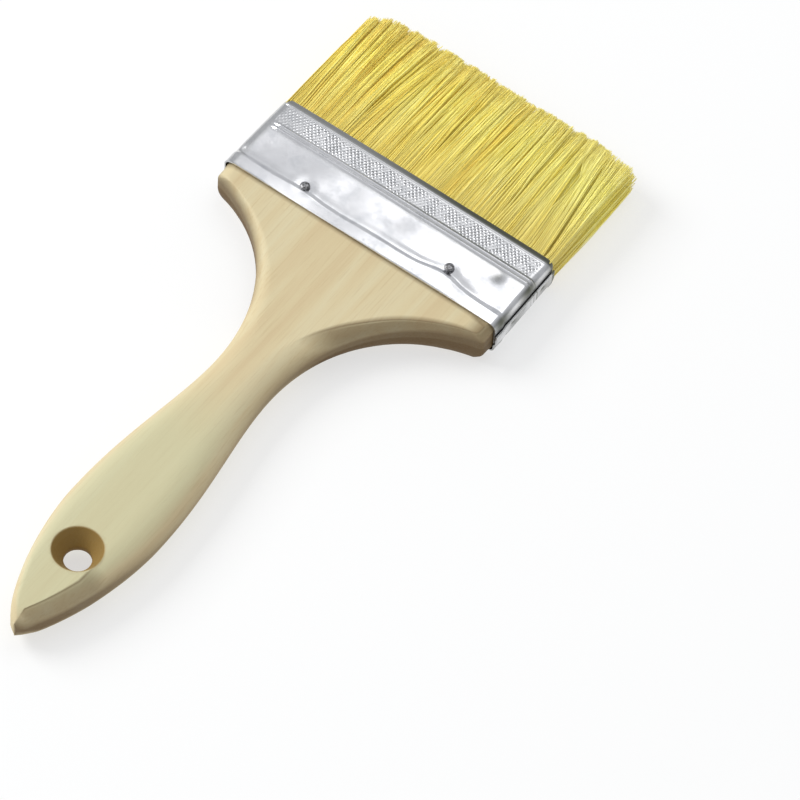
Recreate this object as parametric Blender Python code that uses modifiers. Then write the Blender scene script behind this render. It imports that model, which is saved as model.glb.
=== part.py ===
"""Flat wall brush of the four-inch size: wooden beaver-tail handle, wrapped tin-plated ferrule,
natural bristle set in resin round a wooden spacer.

The brush lies on its back face. X runs across its width, Y along it from the tail to the bristle
tips, and Z up through its thickness. The origin is under its middle, on the surface it lies on.
Units are metres.
"""

import math

import bmesh
import bpy
from mathutils import Vector
from mathutils.geometry import interpolate_bezier

MM = 0.001

# Overall sizes
HANDLE_LENGTH = 170.0 * MM          # from the tail's tip to the ferrule's lower edge
FERRULE_HEIGHT = 31.0 * MM
BRISTLE_OUT = 44.0 * MM             # free length of the bristle past the ferrule
FERRULE_WIDTH = 102.0 * MM          # the nominal four inches
FERRULE_NARROWING = 1.0 * MM        # width lost up to the bristle end
FERRULE_DEPTH = 14.4 * MM           # at its lower edge, where it grips the handle
FERRULE_THINNING = 2.0 * MM         # depth lost up to the bristle end
FERRULE_CORNER = 2.8 * MM           # outer corner radius seen from the end

# Sheet and clearances
SHEET = 0.5 * MM
GAP = 0.3 * MM                      # between pieces that touch on the real brush

# Handle outline: half widths at the places where it turns
TAIL_TIP_HALF = 1.2 * MM
BELLY_AT = 50.0 * MM
BELLY_HALF = 16.3 * MM
NECK_AT = 112.0 * MM
NECK_HALF = 10.3 * MM
HEAD_STRAIGHT = 4.0 * MM            # straight side of the head below the ferrule
HEAD_CORNER = 1.3 * MM              # radius of the head's corner in the outline
TENON_LENGTH = 12.0 * MM            # wood inside the ferrule
TENON_CHAMFER = 0.8 * MM
TAIL_EDGE = 2.6 * MM                # rounding of the tail's tip, seen from the side

# Handle edges: rounding radius seen from the end, at the tail, the grip and the head
TAIL_ROUND = 2.4 * MM
GRIP_ROUND = 4.9 * MM
HEAD_ROUND = 1.8 * MM

# Hang hole, countersunk from both faces
HOLE_AT = 30.5 * MM                 # from the tail's tip
HOLE_RIM = 7.9 * MM
HOLE_THROAT = 4.3 * MM
HOLE_THROAT_LENGTH = 1.6 * MM

# Ferrule relief: distances from its lower edge, and heights
GROOVE_AT = 5.4 * MM
GROOVE_HALF = 1.0 * MM
GROOVE_DEPTH = 0.3 * MM
BEAD_AT = 19.6 * MM
BEAD_PITCH = 1.4 * MM
BEAD_HALF = 0.6 * MM
BEAD_HEIGHT = 0.35 * MM
RIM_LINE_BELOW_TOP = 2.2 * MM
RIM_LINE_HEIGHT = 0.2 * MM
SEAM_OVERLAP = 3.4 * MM             # lap seam on the narrow side
SEAM_JOGGLE = 1.6 * MM              # length over which the outer layer steps out

# Nails: place across the width and distance from the ferrule's lower edge
FRONT_NAILS = (("nail_front_left", -25.5 * MM, 6.6 * MM), ("nail_front_right", 27.0 * MM, 9.2 * MM))
BACK_NAILS = (("nail_back_left", -26.5 * MM, 8.4 * MM), ("nail_back_right", 25.5 * MM, 6.8 * MM))
NAIL_HEAD = 1.6 * MM
NAIL_HEAD_HEIGHT = 0.7 * MM
NAIL_SHANK = 0.6 * MM
NAIL_REACH = 5.0 * MM               # from under the head to the point's shoulder
NAIL_POINT = 1.0 * MM

# Filling of the ferrule
RESIN_HEIGHT = 3.6 * MM
SPACER_DEPTH = 3.2 * MM
SPACER_BELOW_BEND = 0.6 * MM        # from the spacer's nose to the bristle's round seat
SPACER_EDGE = 0.3 * MM

# Bristle
FLEX_ABOVE_FERRULE = 2.0 * MM       # where the bristle bends
BRISTLE_FULL = 1.0 * MM             # how far each face swells past its root
BRISTLE_TIP_IN = 0.3 * MM           # how far each face draws in at the tips
BRISTLE_CORNER = 2.0 * MM

# Mesh fineness
OUTLINE_STEPS = 9                   # stations in each stretch of the outline
CORNER_STEPS = 5
ROUND_SIDES = 32

TOTAL_LENGTH = HANDLE_LENGTH + FERRULE_HEIGHT + BRISTLE_OUT
TAIL_Y = -TOTAL_LENGTH / 2
MOUTH_Y = TAIL_Y + HANDLE_LENGTH    # the ferrule's lower edge
RIM_Y = MOUTH_Y + FERRULE_HEIGHT    # the ferrule's upper edge
TIP_Y = TAIL_Y + TOTAL_LENGTH
FLEX_Y = RIM_Y + FLEX_ABOVE_FERRULE
HANDLE_HALF_DEPTH = FERRULE_DEPTH / 2 - SHEET - GAP
FILL_HALF_WIDTH = (FERRULE_WIDTH - FERRULE_NARROWING) / 2 - SHEET - GAP
FILL_HALF_DEPTH = (FERRULE_DEPTH - FERRULE_THINNING) / 2 - SHEET - GAP


def clear_scene():
    """Remove every object of the starting scene."""
    for old in list(bpy.data.objects):
        bpy.data.objects.remove(old, do_unlink=True)


def new_collection(name):
    """A collection of this name, in the scene."""
    collection = bpy.data.collections.new(name)
    bpy.context.scene.collection.children.link(collection)
    return collection


def finish(name, colour, roughness, metallic=0.0):
    """A Principled material; colour is linear RGB."""
    material = bpy.data.materials.new(name)
    material.use_nodes = True
    shader = material.node_tree.nodes["Principled BSDF"]
    shader.inputs["Base Color"].default_value = (*colour, 1.0)
    shader.inputs["Roughness"].default_value = roughness
    shader.inputs["Metallic"].default_value = metallic
    return material


def add_object(name, bm, collection, material=None, smooth_under=None):
    """Put a bmesh in a new object, with its faces turned outwards."""
    bmesh.ops.recalc_face_normals(bm, faces=bm.faces)
    mesh = bpy.data.meshes.new(name)
    bm.to_mesh(mesh)
    bm.free()
    if smooth_under is not None:
        mesh.shade_smooth()
        mesh.set_sharp_from_angle(angle=math.radians(smooth_under))
    piece = bpy.data.objects.new(name, mesh)
    collection.objects.link(piece)
    if material:
        mesh.materials.append(material)
    return piece


def cut(piece, cutter):
    """Cut one closed piece out of another."""
    boolean = piece.modifiers.new("Cut " + cutter.name, "BOOLEAN")
    boolean.operation = "DIFFERENCE"
    boolean.solver = "EXACT"
    boolean.object = cutter


def turned(name, profile, collection, material=None, sides=ROUND_SIDES):
    """Turn a profile of (radius, height) points, from the top down, about Z."""
    bm = bmesh.new()
    points = [bm.verts.new((radius, 0.0, height)) for radius, height in profile]
    for upper, lower in zip(points, points[1:]):
        bm.edges.new((upper, lower))
    mesh = bpy.data.meshes.new(name)
    bm.to_mesh(mesh)
    bm.free()
    mesh.shade_smooth()
    piece = bpy.data.objects.new(name, mesh)
    collection.objects.link(piece)
    if material:
        mesh.materials.append(material)
    screw = piece.modifiers.new("Turn", "SCREW")
    screw.steps = sides
    screw.render_steps = sides
    screw.use_merge_vertices = True
    screw.merge_threshold = 0.00001
    return piece


def rounded_section(half_width, half_depth, radius):
    """Points (x, z) round a rounded rectangle, from the lower right corner upwards."""
    radius = min(radius, half_width, half_depth)
    points = []
    for quarter, (side, level) in enumerate(((1, -1), (1, 1), (-1, 1), (-1, -1))):
        centre_x = side * (half_width - radius)
        centre_z = level * (half_depth - radius)
        for step in range(CORNER_STEPS + 1):
            angle = math.radians(90 * (quarter - 1 + step / CORNER_STEPS))
            points.append((centre_x + radius * math.cos(angle), centre_z + radius * math.sin(angle)))
    return points


def loft(sections):
    """Skin closed sections, each (y, [(x, z), ...]) about the brush's middle height, and cap both ends."""
    bm = bmesh.new()
    rings = [[bm.verts.new((x, y, MID_Z + z)) for x, z in points] for y, points in sections]
    for ring, following in zip(rings, rings[1:]):
        for i in range(len(ring)):
            j = (i + 1) % len(ring)
            bm.faces.new((ring[i], ring[j], following[j], following[i]))
    bm.faces.new(rings[0])
    bm.faces.new(reversed(rings[-1]))
    return bm


# ---- Ferrule sizes that the other pieces fit ----

def ferrule_half_width(rise):
    """Outer half width, at a height above the ferrule's lower edge."""
    return (FERRULE_WIDTH - FERRULE_NARROWING * rise / FERRULE_HEIGHT) / 2


def ferrule_half_depth(rise):
    """Outer half depth, at a height above the ferrule's lower edge."""
    return (FERRULE_DEPTH - FERRULE_THINNING * rise / FERRULE_HEIGHT) / 2


def resting_height():
    """Height of the brush's middle: it lies on the heads of the nails in its back face."""
    heads = [ferrule_half_depth(rise) + GAP + NAIL_HEAD_HEIGHT for _, _, rise in BACK_NAILS]
    return max(FERRULE_DEPTH / 2, *heads)


MID_Z = resting_height()


def ferrule_relief():
    """Heights up the ferrule and how far its sheet stands out there."""
    first = BEAD_AT - BEAD_PITCH / 2
    second = BEAD_AT + BEAD_PITCH / 2
    line = FERRULE_HEIGHT - RIM_LINE_BELOW_TOP
    return [
        (0.0, 0.0),
        (GROOVE_AT - GROOVE_HALF, 0.0),
        (GROOVE_AT, -GROOVE_DEPTH),
        (GROOVE_AT + GROOVE_HALF, 0.0),
        (first - BEAD_HALF, 0.0),
        (first, BEAD_HEIGHT),
        (BEAD_AT, BEAD_HEIGHT * 0.3),
        (second, BEAD_HEIGHT),
        (second + BEAD_HALF, 0.0),
        (line - BEAD_HALF, 0.0),
        (line, RIM_LINE_HEIGHT),
        (line + BEAD_HALF, 0.0),
        (FERRULE_HEIGHT, 0.0),
    ]


def relief_at(rise):
    """How far the sheet stands out at any height."""
    for (low, start), (high, end) in zip(ferrule_relief(), ferrule_relief()[1:]):
        if low <= rise <= high:
            return start + (end - start) * (rise - low) / (high - low)
    return 0.0


# ---- Handle ----

def handle_outline():
    """Stations (distance from the tail, half width) along the handle, up to the ferrule."""
    head_half = FERRULE_WIDTH / 2 - SHEET - GAP
    corner_at = HANDLE_LENGTH - HEAD_STRAIGHT
    tip = Vector((0.0, TAIL_TIP_HALF, 0.0))
    belly = Vector((BELLY_AT, BELLY_HALF, 0.0))
    neck = Vector((NECK_AT, NECK_HALF, 0.0))
    head = Vector((corner_at - HEAD_CORNER, head_half - HEAD_CORNER, 0.0))
    grip_run = NECK_AT - BELLY_AT
    head_run = corner_at - NECK_AT
    stretches = (
        (tip, tip + Vector((0.12 * BELLY_AT, 0.42 * BELLY_HALF, 0.0)),
         belly - Vector((0.36 * BELLY_AT, 0.0, 0.0)), belly),
        (belly, belly + Vector((0.42 * grip_run, 0.0, 0.0)),
         neck - Vector((0.29 * grip_run, 0.0, 0.0)), neck),
        (neck, neck + Vector((0.46 * head_run, 0.0, 0.0)),
         head - Vector((0.12 * head_run, 0.62 * (head_half - NECK_HALF), 0.0)), head),
    )
    stations = []
    for start, leave, arrive, end in stretches:
        for point in interpolate_bezier(start, leave, arrive, end, OUTLINE_STEPS + 1):
            if not stations or point.x > stations[-1][0] + 0.2 * MM:
                stations.append((point.x, point.y))
    for degrees in (30, 60, 90):
        angle = math.radians(degrees)
        stations.append((corner_at - HEAD_CORNER * math.cos(angle),
                         head_half - HEAD_CORNER * (1 - math.sin(angle))))
    return stations


def blend(value, start, end):
    """0 before start, 1 after end, smooth between them."""
    share = min(max((value - start) / (end - start), 0.0), 1.0)
    return share * share * (3 - 2 * share)


def handle_rounding(along):
    """Edge radius of the handle at a distance from the tail."""
    grip = blend(along, 0.2 * BELLY_AT, BELLY_AT)
    head = blend(along, NECK_AT, HANDLE_LENGTH - HEAD_STRAIGHT)
    return TAIL_ROUND + (GRIP_ROUND - TAIL_ROUND) * grip + (HEAD_ROUND - GRIP_ROUND) * head


def handle_half_depth(along):
    """Half depth of the handle: level faces, with a rounded tip."""
    if along >= TAIL_EDGE:
        return HANDLE_HALF_DEPTH
    back = 1 - along / TAIL_EDGE
    return HANDLE_HALF_DEPTH - TAIL_EDGE * (1 - math.sqrt(1 - back * back))


def make_handle(parts, cutters, wood):
    """Grip, head and tenon in one loft, with the hang hole cut through the tail."""
    sections = []
    tip_steps = [TAIL_EDGE * share for share in (0.12, 0.35, 0.65)]
    outline = handle_outline()
    reach = outline[1][0]
    slope = (outline[1][1] - outline[0][1]) / reach
    tip = [(along, outline[0][1] + slope * along) for along in tip_steps if along < 0.9 * reach]
    for along, half_width in [outline[0], *tip, *outline[1:]]:
        half_depth = handle_half_depth(along)
        sections.append((TAIL_Y + along, rounded_section(half_width, half_depth, handle_rounding(along))))
    inset = SHEET + GAP
    rises = [rise for rise, _ in ferrule_relief() if rise < TENON_LENGTH - TENON_CHAMFER]
    for rise in [*rises, TENON_LENGTH - TENON_CHAMFER, TENON_LENGTH]:
        drawn_in = TENON_CHAMFER if rise == TENON_LENGTH else 0.0
        half_width = ferrule_half_width(rise) + relief_at(rise) - inset - drawn_in
        half_depth = ferrule_half_depth(rise) + relief_at(rise) - inset - drawn_in
        radius = FERRULE_CORNER - inset
        sections.append((MOUTH_Y + rise, rounded_section(half_width, half_depth, radius)))
    handle = add_object("handle", loft(sections), parts, wood, smooth_under=40)

    run_out = 1.0 * MM
    slope = (HOLE_RIM - HOLE_THROAT) / (HANDLE_HALF_DEPTH - HOLE_THROAT_LENGTH / 2)
    top = HANDLE_HALF_DEPTH + run_out
    mouth = HOLE_RIM + slope * run_out
    throat = HOLE_THROAT_LENGTH / 2
    hole = turned("hang_hole_cutter", [(0.0, top), (mouth, top), (HOLE_THROAT, throat),
                                       (HOLE_THROAT, -throat), (mouth, -top), (0.0, -top)], cutters)
    hole.location = (0.0, TAIL_Y + HOLE_AT, MID_Z)
    cut(handle, hole)
    return handle


# ---- Ferrule ----

def strip_path():
    """The wrapped strip's points seen from the end, from its inner end round to its outer end.

    A point is ("side", height above the middle, step out) on the right narrow side, or
    ("corner", (side, level), angle) on a rounded corner. The outer end laps over the inner one.
    """
    start = -SEAM_OVERLAP / 2
    path = [("side", start, 0.0), ("side", 0.0, 0.0)]
    for quarter, corner in ((1, (1, 1)), (2, (-1, 1)), (3, (-1, -1)), (0, (1, -1))):
        for step in range(CORNER_STEPS + 1):
            path.append(("corner", corner, math.radians(90 * (quarter - 1 + step / CORNER_STEPS))))
    path.append(("side", start - SEAM_JOGGLE - GAP, 0.0))
    path.append(("side", start - GAP, SHEET + GAP))
    path.append(("side", -start, SHEET + GAP))
    return path


def strip_ring(rise, relief):
    """The strip's outer line at one height, as (x, z) points."""
    half_width = ferrule_half_width(rise) + relief
    half_depth = ferrule_half_depth(rise) + relief
    points = []
    for kind, first, second in strip_path():
        if kind == "side":
            points.append((half_width + second, first))
        else:
            side, level = first
            points.append((side * (half_width - FERRULE_CORNER) + FERRULE_CORNER * math.cos(second),
                           level * (half_depth - FERRULE_CORNER) + FERRULE_CORNER * math.sin(second)))
    return points


def make_ferrule(parts, tin):
    """The strip as an open surface, given its thickness inwards."""
    bm = bmesh.new()
    rings = []
    for rise, relief in ferrule_relief():
        rings.append([bm.verts.new((x, MOUTH_Y + rise, MID_Z + z)) for x, z in strip_ring(rise, relief)])
    for ring, following in zip(rings, rings[1:]):
        for i in range(len(ring) - 1):
            bm.faces.new((ring[i], following[i], following[i + 1], ring[i + 1]))
    mesh = bpy.data.meshes.new("ferrule")
    bm.to_mesh(mesh)
    bm.free()
    mesh.shade_smooth()
    mesh.set_sharp_from_angle(angle=math.radians(35))
    mesh.materials.append(tin)
    ferrule = bpy.data.objects.new("ferrule", mesh)
    parts.objects.link(ferrule)
    wall = ferrule.modifiers.new("Wall", "SOLIDIFY")
    wall.thickness = SHEET
    wall.offset = -1.0
    return ferrule


def make_nails(parts, cutters, handle, ferrule, steel):
    """Four nails, each through the sheet into the wood, with their clearance holes."""
    for nails, facing in ((FRONT_NAILS, 1), (BACK_NAILS, -1)):
        for name, across, rise in nails:
            face = ferrule_half_depth(rise) + GAP
            point = NAIL_REACH + NAIL_POINT
            nail = turned(name, [
                (0.0, NAIL_HEAD_HEIGHT),
                (0.45 * NAIL_HEAD, 0.93 * NAIL_HEAD_HEIGHT),
                (0.8 * NAIL_HEAD, 0.65 * NAIL_HEAD_HEIGHT),
                (NAIL_HEAD, 0.25 * NAIL_HEAD_HEIGHT),
                (NAIL_HEAD, 0.0),
                (NAIL_SHANK, 0.0),
                (NAIL_SHANK, -NAIL_REACH),
                (0.0, -point),
            ], parts, steel, sides=16)
            bore = turned(name + "_hole_cutter", [
                (0.0, GAP / 2),
                (NAIL_SHANK + GAP, GAP / 2),
                (NAIL_SHANK + GAP, -NAIL_REACH - GAP),
                (0.0, -point - GAP),
            ], cutters, sides=16)
            for piece in (nail, bore):
                piece.location = (across, MOUTH_Y + rise, MID_Z + facing * face)
                piece.rotation_euler = (0.0 if facing > 0 else math.pi, 0.0, 0.0)
            cut(handle, bore)
            cut(ferrule, bore)


# ---- Filling of the ferrule ----

def bank_section(half_width, inner, outer, facing):
    """One bank seen from the end: level towards the spacer, rounded corners on the outer face."""
    radius = min(BRISTLE_CORNER, outer - inner)
    points = [(half_width, inner)]
    for side, quarter in ((1, 0), (-1, 1)):
        for step in range(CORNER_STEPS + 1):
            angle = math.radians(90 * (quarter + step / CORNER_STEPS))
            points.append((side * (half_width - radius) + radius * math.cos(angle),
                           outer - radius + radius * math.sin(angle)))
    points.append((-half_width, inner))
    return [(x, facing * z) for x, z in points]


def make_filling(parts, cutters, resin, wood, hair):
    """Resin block, spacer strip, and the two banks of bristle root on each side of the spacer."""
    resin_low = MOUTH_Y + TENON_LENGTH + GAP
    resin_high = resin_low + RESIN_HEIGHT
    block = rounded_section(FILL_HALF_WIDTH, FILL_HALF_DEPTH, BRISTLE_CORNER)
    add_object("resin_setting", loft([(resin_low, block), (resin_high, block)]), parts, resin, 40)

    spacer_low = resin_high + GAP
    spacer_high = FLEX_Y - FILL_HALF_DEPTH - SPACER_BELOW_BEND
    strip = rounded_section(FILL_HALF_WIDTH - BRISTLE_CORNER, SPACER_DEPTH / 2, SPACER_EDGE)
    nose = rounded_section(FILL_HALF_WIDTH - BRISTLE_CORNER, SPACER_DEPTH / 4, SPACER_EDGE)
    shoulder = spacer_high - SPACER_DEPTH / 4
    add_object("spacer_strip", loft([(spacer_low, strip), (shoulder, strip), (spacer_high, nose)]),
               parts, wood, 30)

    seat = tufts_seat(cutters)
    inner = SPACER_DEPTH / 2 + GAP
    for name, facing in (("bristle_root_front", 1), ("bristle_root_back", -1)):
        bank = bank_section(FILL_HALF_WIDTH, inner, FILL_HALF_DEPTH, facing)
        root = add_object(name, loft([(spacer_low, bank), (RIM_Y, bank)]), parts, hair, 40)
        cut(root, seat)


def tufts_seat(cutters):
    """Round hollow in which the free bristle turns."""
    bpy.ops.mesh.primitive_cylinder_add(vertices=2 * ROUND_SIDES, radius=FILL_HALF_DEPTH + GAP,
                                        depth=1.2 * FERRULE_WIDTH, location=(0.0, FLEX_Y, MID_Z),
                                        rotation=(0.0, math.pi / 2, 0.0))
    seat = bpy.context.active_object
    seat.name = "tuft_seat_cutter"
    for collection in list(seat.users_collection):
        collection.objects.unlink(seat)
    cutters.objects.link(seat)
    return seat


def make_tufts(parts, hair, pivot):
    """The two banks of free bristle, on one hinge line just above the ferrule."""
    base = FILL_HALF_DEPTH
    free = TIP_Y - FLEX_Y
    full = base + BRISTLE_FULL
    profile = []
    for step in range(1, 9):
        angle = math.radians(90 * step / 8)
        profile.append((FLEX_Y - base * math.cos(angle), base * math.sin(angle)))
    profile.append((FLEX_Y + 0.2 * free, base + 0.7 * BRISTLE_FULL))
    profile.append((FLEX_Y + 0.5 * free, full))
    profile.append((FLEX_Y + 0.8 * free, base + 0.7 * BRISTLE_FULL))
    profile.append((TIP_Y, base - BRISTLE_TIP_IN))
    for name, facing in (("bristle_tuft_front", 1), ("bristle_tuft_back", -1)):
        sections = [(y, bank_section(FILL_HALF_WIDTH, GAP / 2, outer, facing)) for y, outer in profile]
        tuft = add_object(name, loft(sections), parts, hair, 40)
        hang_from(tuft, pivot)


def hang_from(piece, pivot):
    """Parent a piece to the pivot and keep it where it stands."""
    piece.data.transform(pivot.matrix_world.inverted())
    piece.parent = pivot


def main():
    clear_scene()
    parts = new_collection("wall_brush")
    cutters = new_collection("cutters")
    pale_wood = finish("Poplar, raw", (0.70, 0.60, 0.40), 0.65)
    tin = finish("Tin plate", (0.78, 0.78, 0.80), 0.28, 1.0)
    steel = finish("Bright nail steel", (0.45, 0.45, 0.46), 0.35, 1.0)
    resin = finish("Setting resin", (0.25, 0.14, 0.05), 0.4)
    hair = finish("Natural bristle", (0.74, 0.60, 0.14), 0.6)

    handle = make_handle(parts, cutters, pale_wood)
    ferrule = make_ferrule(parts, tin)
    make_nails(parts, cutters, handle, ferrule, steel)
    make_filling(parts, cutters, resin, pale_wood, hair)

    pivot = bpy.data.objects.new("bristle_flex_axis", None)
    pivot.location = (0.0, FLEX_Y, MID_Z)
    parts.objects.link(pivot)
    bpy.context.view_layer.update()
    make_tufts(parts, hair, pivot)

    for cutter in cutters.objects:
        cutter.hide_render = True
        cutter.display_type = "WIRE"


main()
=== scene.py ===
"""Looks of a flat wall brush: raw wood handle, nailed tin ferrule and natural bristle.

The brush lies on its back face. X runs across its width, Y along it from the tail to the bristle
tips, and Z up through its thickness. Units are metres, and tables in millimetres say so.
"""

import logging
import math
from contextlib import contextmanager
from dataclasses import dataclass
from enum import Enum
from typing import Any, Callable, Iterator, Sequence

import bpy
import numpy as np
from mathutils import Matrix, Vector
from mathutils.geometry import interpolate_bezier


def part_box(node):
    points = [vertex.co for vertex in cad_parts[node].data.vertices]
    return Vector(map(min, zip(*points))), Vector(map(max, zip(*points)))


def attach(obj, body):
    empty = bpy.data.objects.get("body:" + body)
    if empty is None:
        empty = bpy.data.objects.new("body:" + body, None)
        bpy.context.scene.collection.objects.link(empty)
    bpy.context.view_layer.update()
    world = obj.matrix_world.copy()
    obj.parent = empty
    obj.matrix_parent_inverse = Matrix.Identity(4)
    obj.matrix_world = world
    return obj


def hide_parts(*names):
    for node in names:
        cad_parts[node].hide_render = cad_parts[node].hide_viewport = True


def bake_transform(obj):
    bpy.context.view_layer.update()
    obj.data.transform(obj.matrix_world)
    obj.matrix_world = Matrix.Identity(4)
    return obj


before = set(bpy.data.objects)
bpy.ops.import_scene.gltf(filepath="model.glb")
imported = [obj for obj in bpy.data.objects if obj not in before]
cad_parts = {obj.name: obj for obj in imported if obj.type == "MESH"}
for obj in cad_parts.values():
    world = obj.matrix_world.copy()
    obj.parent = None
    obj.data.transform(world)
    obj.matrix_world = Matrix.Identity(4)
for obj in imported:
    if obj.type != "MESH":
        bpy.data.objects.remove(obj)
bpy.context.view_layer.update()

MM = 0.001
LOG = logging.getLogger("wall_brush")
Array = np.ndarray
Place = Callable[[Array], Array]
Span = tuple[float, float]
Piece = bpy.types.Object
Material = bpy.types.Material
Socket = bpy.types.NodeSocket


class Facing(Enum):
    """Which of the brush's two broad faces something belongs to."""

    FRONT = 1
    BACK = -1


class Body(Enum):
    """The rigid bodies of the brush's motion."""

    HANDLE = "handle"
    BRISTLE = "bristle"


class Slot(Enum):
    """Names of four material slots."""

    WOOD = "wood"
    TIN = "tin_plate"
    NAIL = "nail_steel"
    HAIR = "bristle"


# ---- Where things are, from the CAD frame ----

@dataclass(frozen=True)
class Levels:
    """Heights along the brush and its middle level, read from the CAD nodes."""

    tail: float
    mouth: float
    rim: float
    tips: float
    resin_top: float
    middle: float
    half_depth: float
    head_half: float

    @staticmethod
    def of_frame() -> "Levels":
        """Read the levels from the frame's boxes.

        Returns:
            The levels of this brush.
        """
        handle_low, handle_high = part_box("handle")
        ferrule_low, ferrule_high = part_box("ferrule")
        return Levels(
            tail=handle_low.y,
            mouth=ferrule_low.y,
            rim=ferrule_high.y,
            tips=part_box("bristle_tuft_front")[1].y,
            resin_top=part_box("resin_setting")[1].y,
            middle=(handle_low.z + handle_high.z) / 2,
            half_depth=(handle_high.z - handle_low.z) / 2,
            head_half=handle_high.x,
        )


# ---- Small tools ----

def linear(hex_colour: str) -> tuple[float, float, float, float]:
    """Turn an sRGB hex colour to linear RGBA.

    Args:
        hex_colour: The colour as "#RRGGBB".

    Returns:
        Red, green, blue and an alpha of one, linear.
    """
    parts = [int(hex_colour[i:i + 2], 16) / 255 for i in (1, 3, 5)]
    red, green, blue = [c / 12.92 if c <= 0.04045 else ((c + 0.055) / 1.055) ** 2.4 for c in parts]
    return red, green, blue, 1.0


def feed(node: bpy.types.Node, values: dict | None = None, links: dict | None = None) -> None:
    """Set a node's sockets.

    Args:
        node: The node.
        values: Socket name or number to its value.
        links: Socket name or number to the output socket that feeds it.
    """
    for socket, value in (values or {}).items():
        node.inputs[socket].default_value = value
    for socket, source in (links or {}).items():
        node.id_data.links.new(source, node.inputs[socket])


def add_node(tree: bpy.types.NodeTree, kind: str, values: dict | None = None,
             links: dict | None = None, out: int | str = 0, stops: Sequence[tuple[float, str]] = (),
             **settings: Any) -> Socket:
    """Add one node with its settings, socket values, incoming links and ramp stops.

    Args:
        tree: The material's node tree.
        kind: The node's type name.
        values: Socket name or number to its value.
        links: Socket name or number to the output socket that feeds it.
        out: Name or number of the output that is wanted.
        stops: Places and hex colours of a colour ramp: its first, its last, and then any others.
        **settings: Properties of the node itself.

    Returns:
        The wanted output socket.
    """
    node = tree.nodes.new(kind)
    for name, setting in settings.items():
        setattr(node, name, setting)
    feed(node, values, links)
    for index, (place, colour) in enumerate(stops):
        elements = node.color_ramp.elements
        stop = elements[index] if index < 2 else elements.new(place)
        stop.position = place
        stop.color = linear(colour)
    return node.outputs[out]


def new_material(name: str) -> tuple[Material, bpy.types.Node, Socket]:
    """Make a material with nodes.

    Args:
        name: The material's name.

    Returns:
        The material, its Principled shader and the socket of Object coordinates.
    """
    material = bpy.data.materials.new(name)
    material.use_nodes = True
    tree = material.node_tree
    return material, tree.nodes["Principled BSDF"], add_node(tree, "ShaderNodeTexCoord", out="Object")


def painted(place: Socket, *names: str) -> list[Socket]:
    """The sockets of painted attributes, in the material that a place's socket belongs to."""
    return [add_node(place.id_data, "ShaderNodeAttribute", out="Fac", attribute_name=name) for name in names]


def scaled(place: Socket, sizes: Sequence[float], turn: float = 0.0) -> Socket:
    """Places counted in steps of one size on each axis, turned about Z by an angle in degrees."""
    return add_node(place.id_data, "ShaderNodeMapping",
                    {"Scale": tuple(1 / size for size in sizes), "Rotation": (0.0, 0.0, math.radians(turn))},
                    {"Vector": place})


def noise(place: Socket, size: float, detail: float = 2.0, **values: float) -> Socket:
    """The strength of noise whose patches have one size; values are its other sockets."""
    return add_node(place.id_data, "ShaderNodeTexNoise", {"Scale": 1 / size, "Detail": detail, **values},
                    {"Vector": place})


def remap(value: Socket, start: float, end: float, first: float, last: float) -> Socket:
    """A value's run from start to end as a run from first to last, held beyond both ends."""
    return add_node(value.id_data, "ShaderNodeMapRange",
                    {"From Min": start, "From Max": end, "To Min": first, "To Max": last}, {"Value": value})


def ramp(value: Socket, *stops: tuple[float, str]) -> Socket:
    """The colour that a value has on a ramp of places and hex colours."""
    return add_node(value.id_data, "ShaderNodeValToRGB", links={"Fac": value}, stops=stops)


def tint(ground: Socket, share: Socket, colour: str) -> Socket:
    """A ground colour with a share of a hex colour mixed in."""
    return add_node(ground.id_data, "ShaderNodeMixRGB", {"Color2": linear(colour)},
                    {"Fac": share, "Color1": ground})


def times(first: Socket, second: Socket | float, plus: Socket | float = 0.0) -> Socket:
    """The product of two values, and a third added to it."""
    given = {0: first, 1: second, 2: plus}
    return add_node(first.id_data, "ShaderNodeMath",
                    {socket: value for socket, value in given.items() if isinstance(value, float)},
                    {socket: value for socket, value in given.items() if not isinstance(value, float)},
                    operation="MULTIPLY_ADD")


def bumped(height: Socket, strength: float, distance: float) -> Socket:
    """The normal of a surface that a height stands out from."""
    return add_node(height.id_data, "ShaderNodeBump", {"Strength": strength, "Distance": distance},
                    {"Height": height})


def smooth_step(values: Array | float, start: float, end: float) -> Array:
    """0 before start, 1 after end and smooth between them.

    Args:
        values: Where to read the step.
        start: Where it leaves 0.
        end: Where it reaches 1.

    Returns:
        The step's height at each value.
    """
    share = np.clip((np.asarray(values, dtype=float) - start) / (end - start), 0.0, 1.0)
    return share * share * (3 - 2 * share)


def bump_at(values: Array, centre: Array | float, width: Array | float) -> Array:
    """A bell of height one.

    Args:
        values: Where to read the bell.
        centre: Its middle.
        width: Distance at which it falls to about a third.

    Returns:
        The bell's height at each value.
    """
    return np.exp(-((values - centre) / width) ** 2)


def window(values: Array, low: float, high: float, soft: float) -> Array:
    """1 between two limits and 0 outside them.

    Args:
        values: Where to read the window.
        low: Its lower limit.
        high: Its upper limit.
        soft: Width of its soft edges, which lie inside the limits.

    Returns:
        The window's height at each value.
    """
    return smooth_step(values, low, low + soft) * (1 - smooth_step(values, high - soft, high))


def nothing_selected() -> None:
    """Deselect every object, because an operator acts on all that is selected."""
    bpy.ops.object.select_all(action="DESELECT")


def only(piece: Piece) -> None:
    """Select one piece alone and make it active."""
    nothing_selected()
    piece.select_set(True)
    bpy.context.view_layer.objects.active = piece


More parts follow.
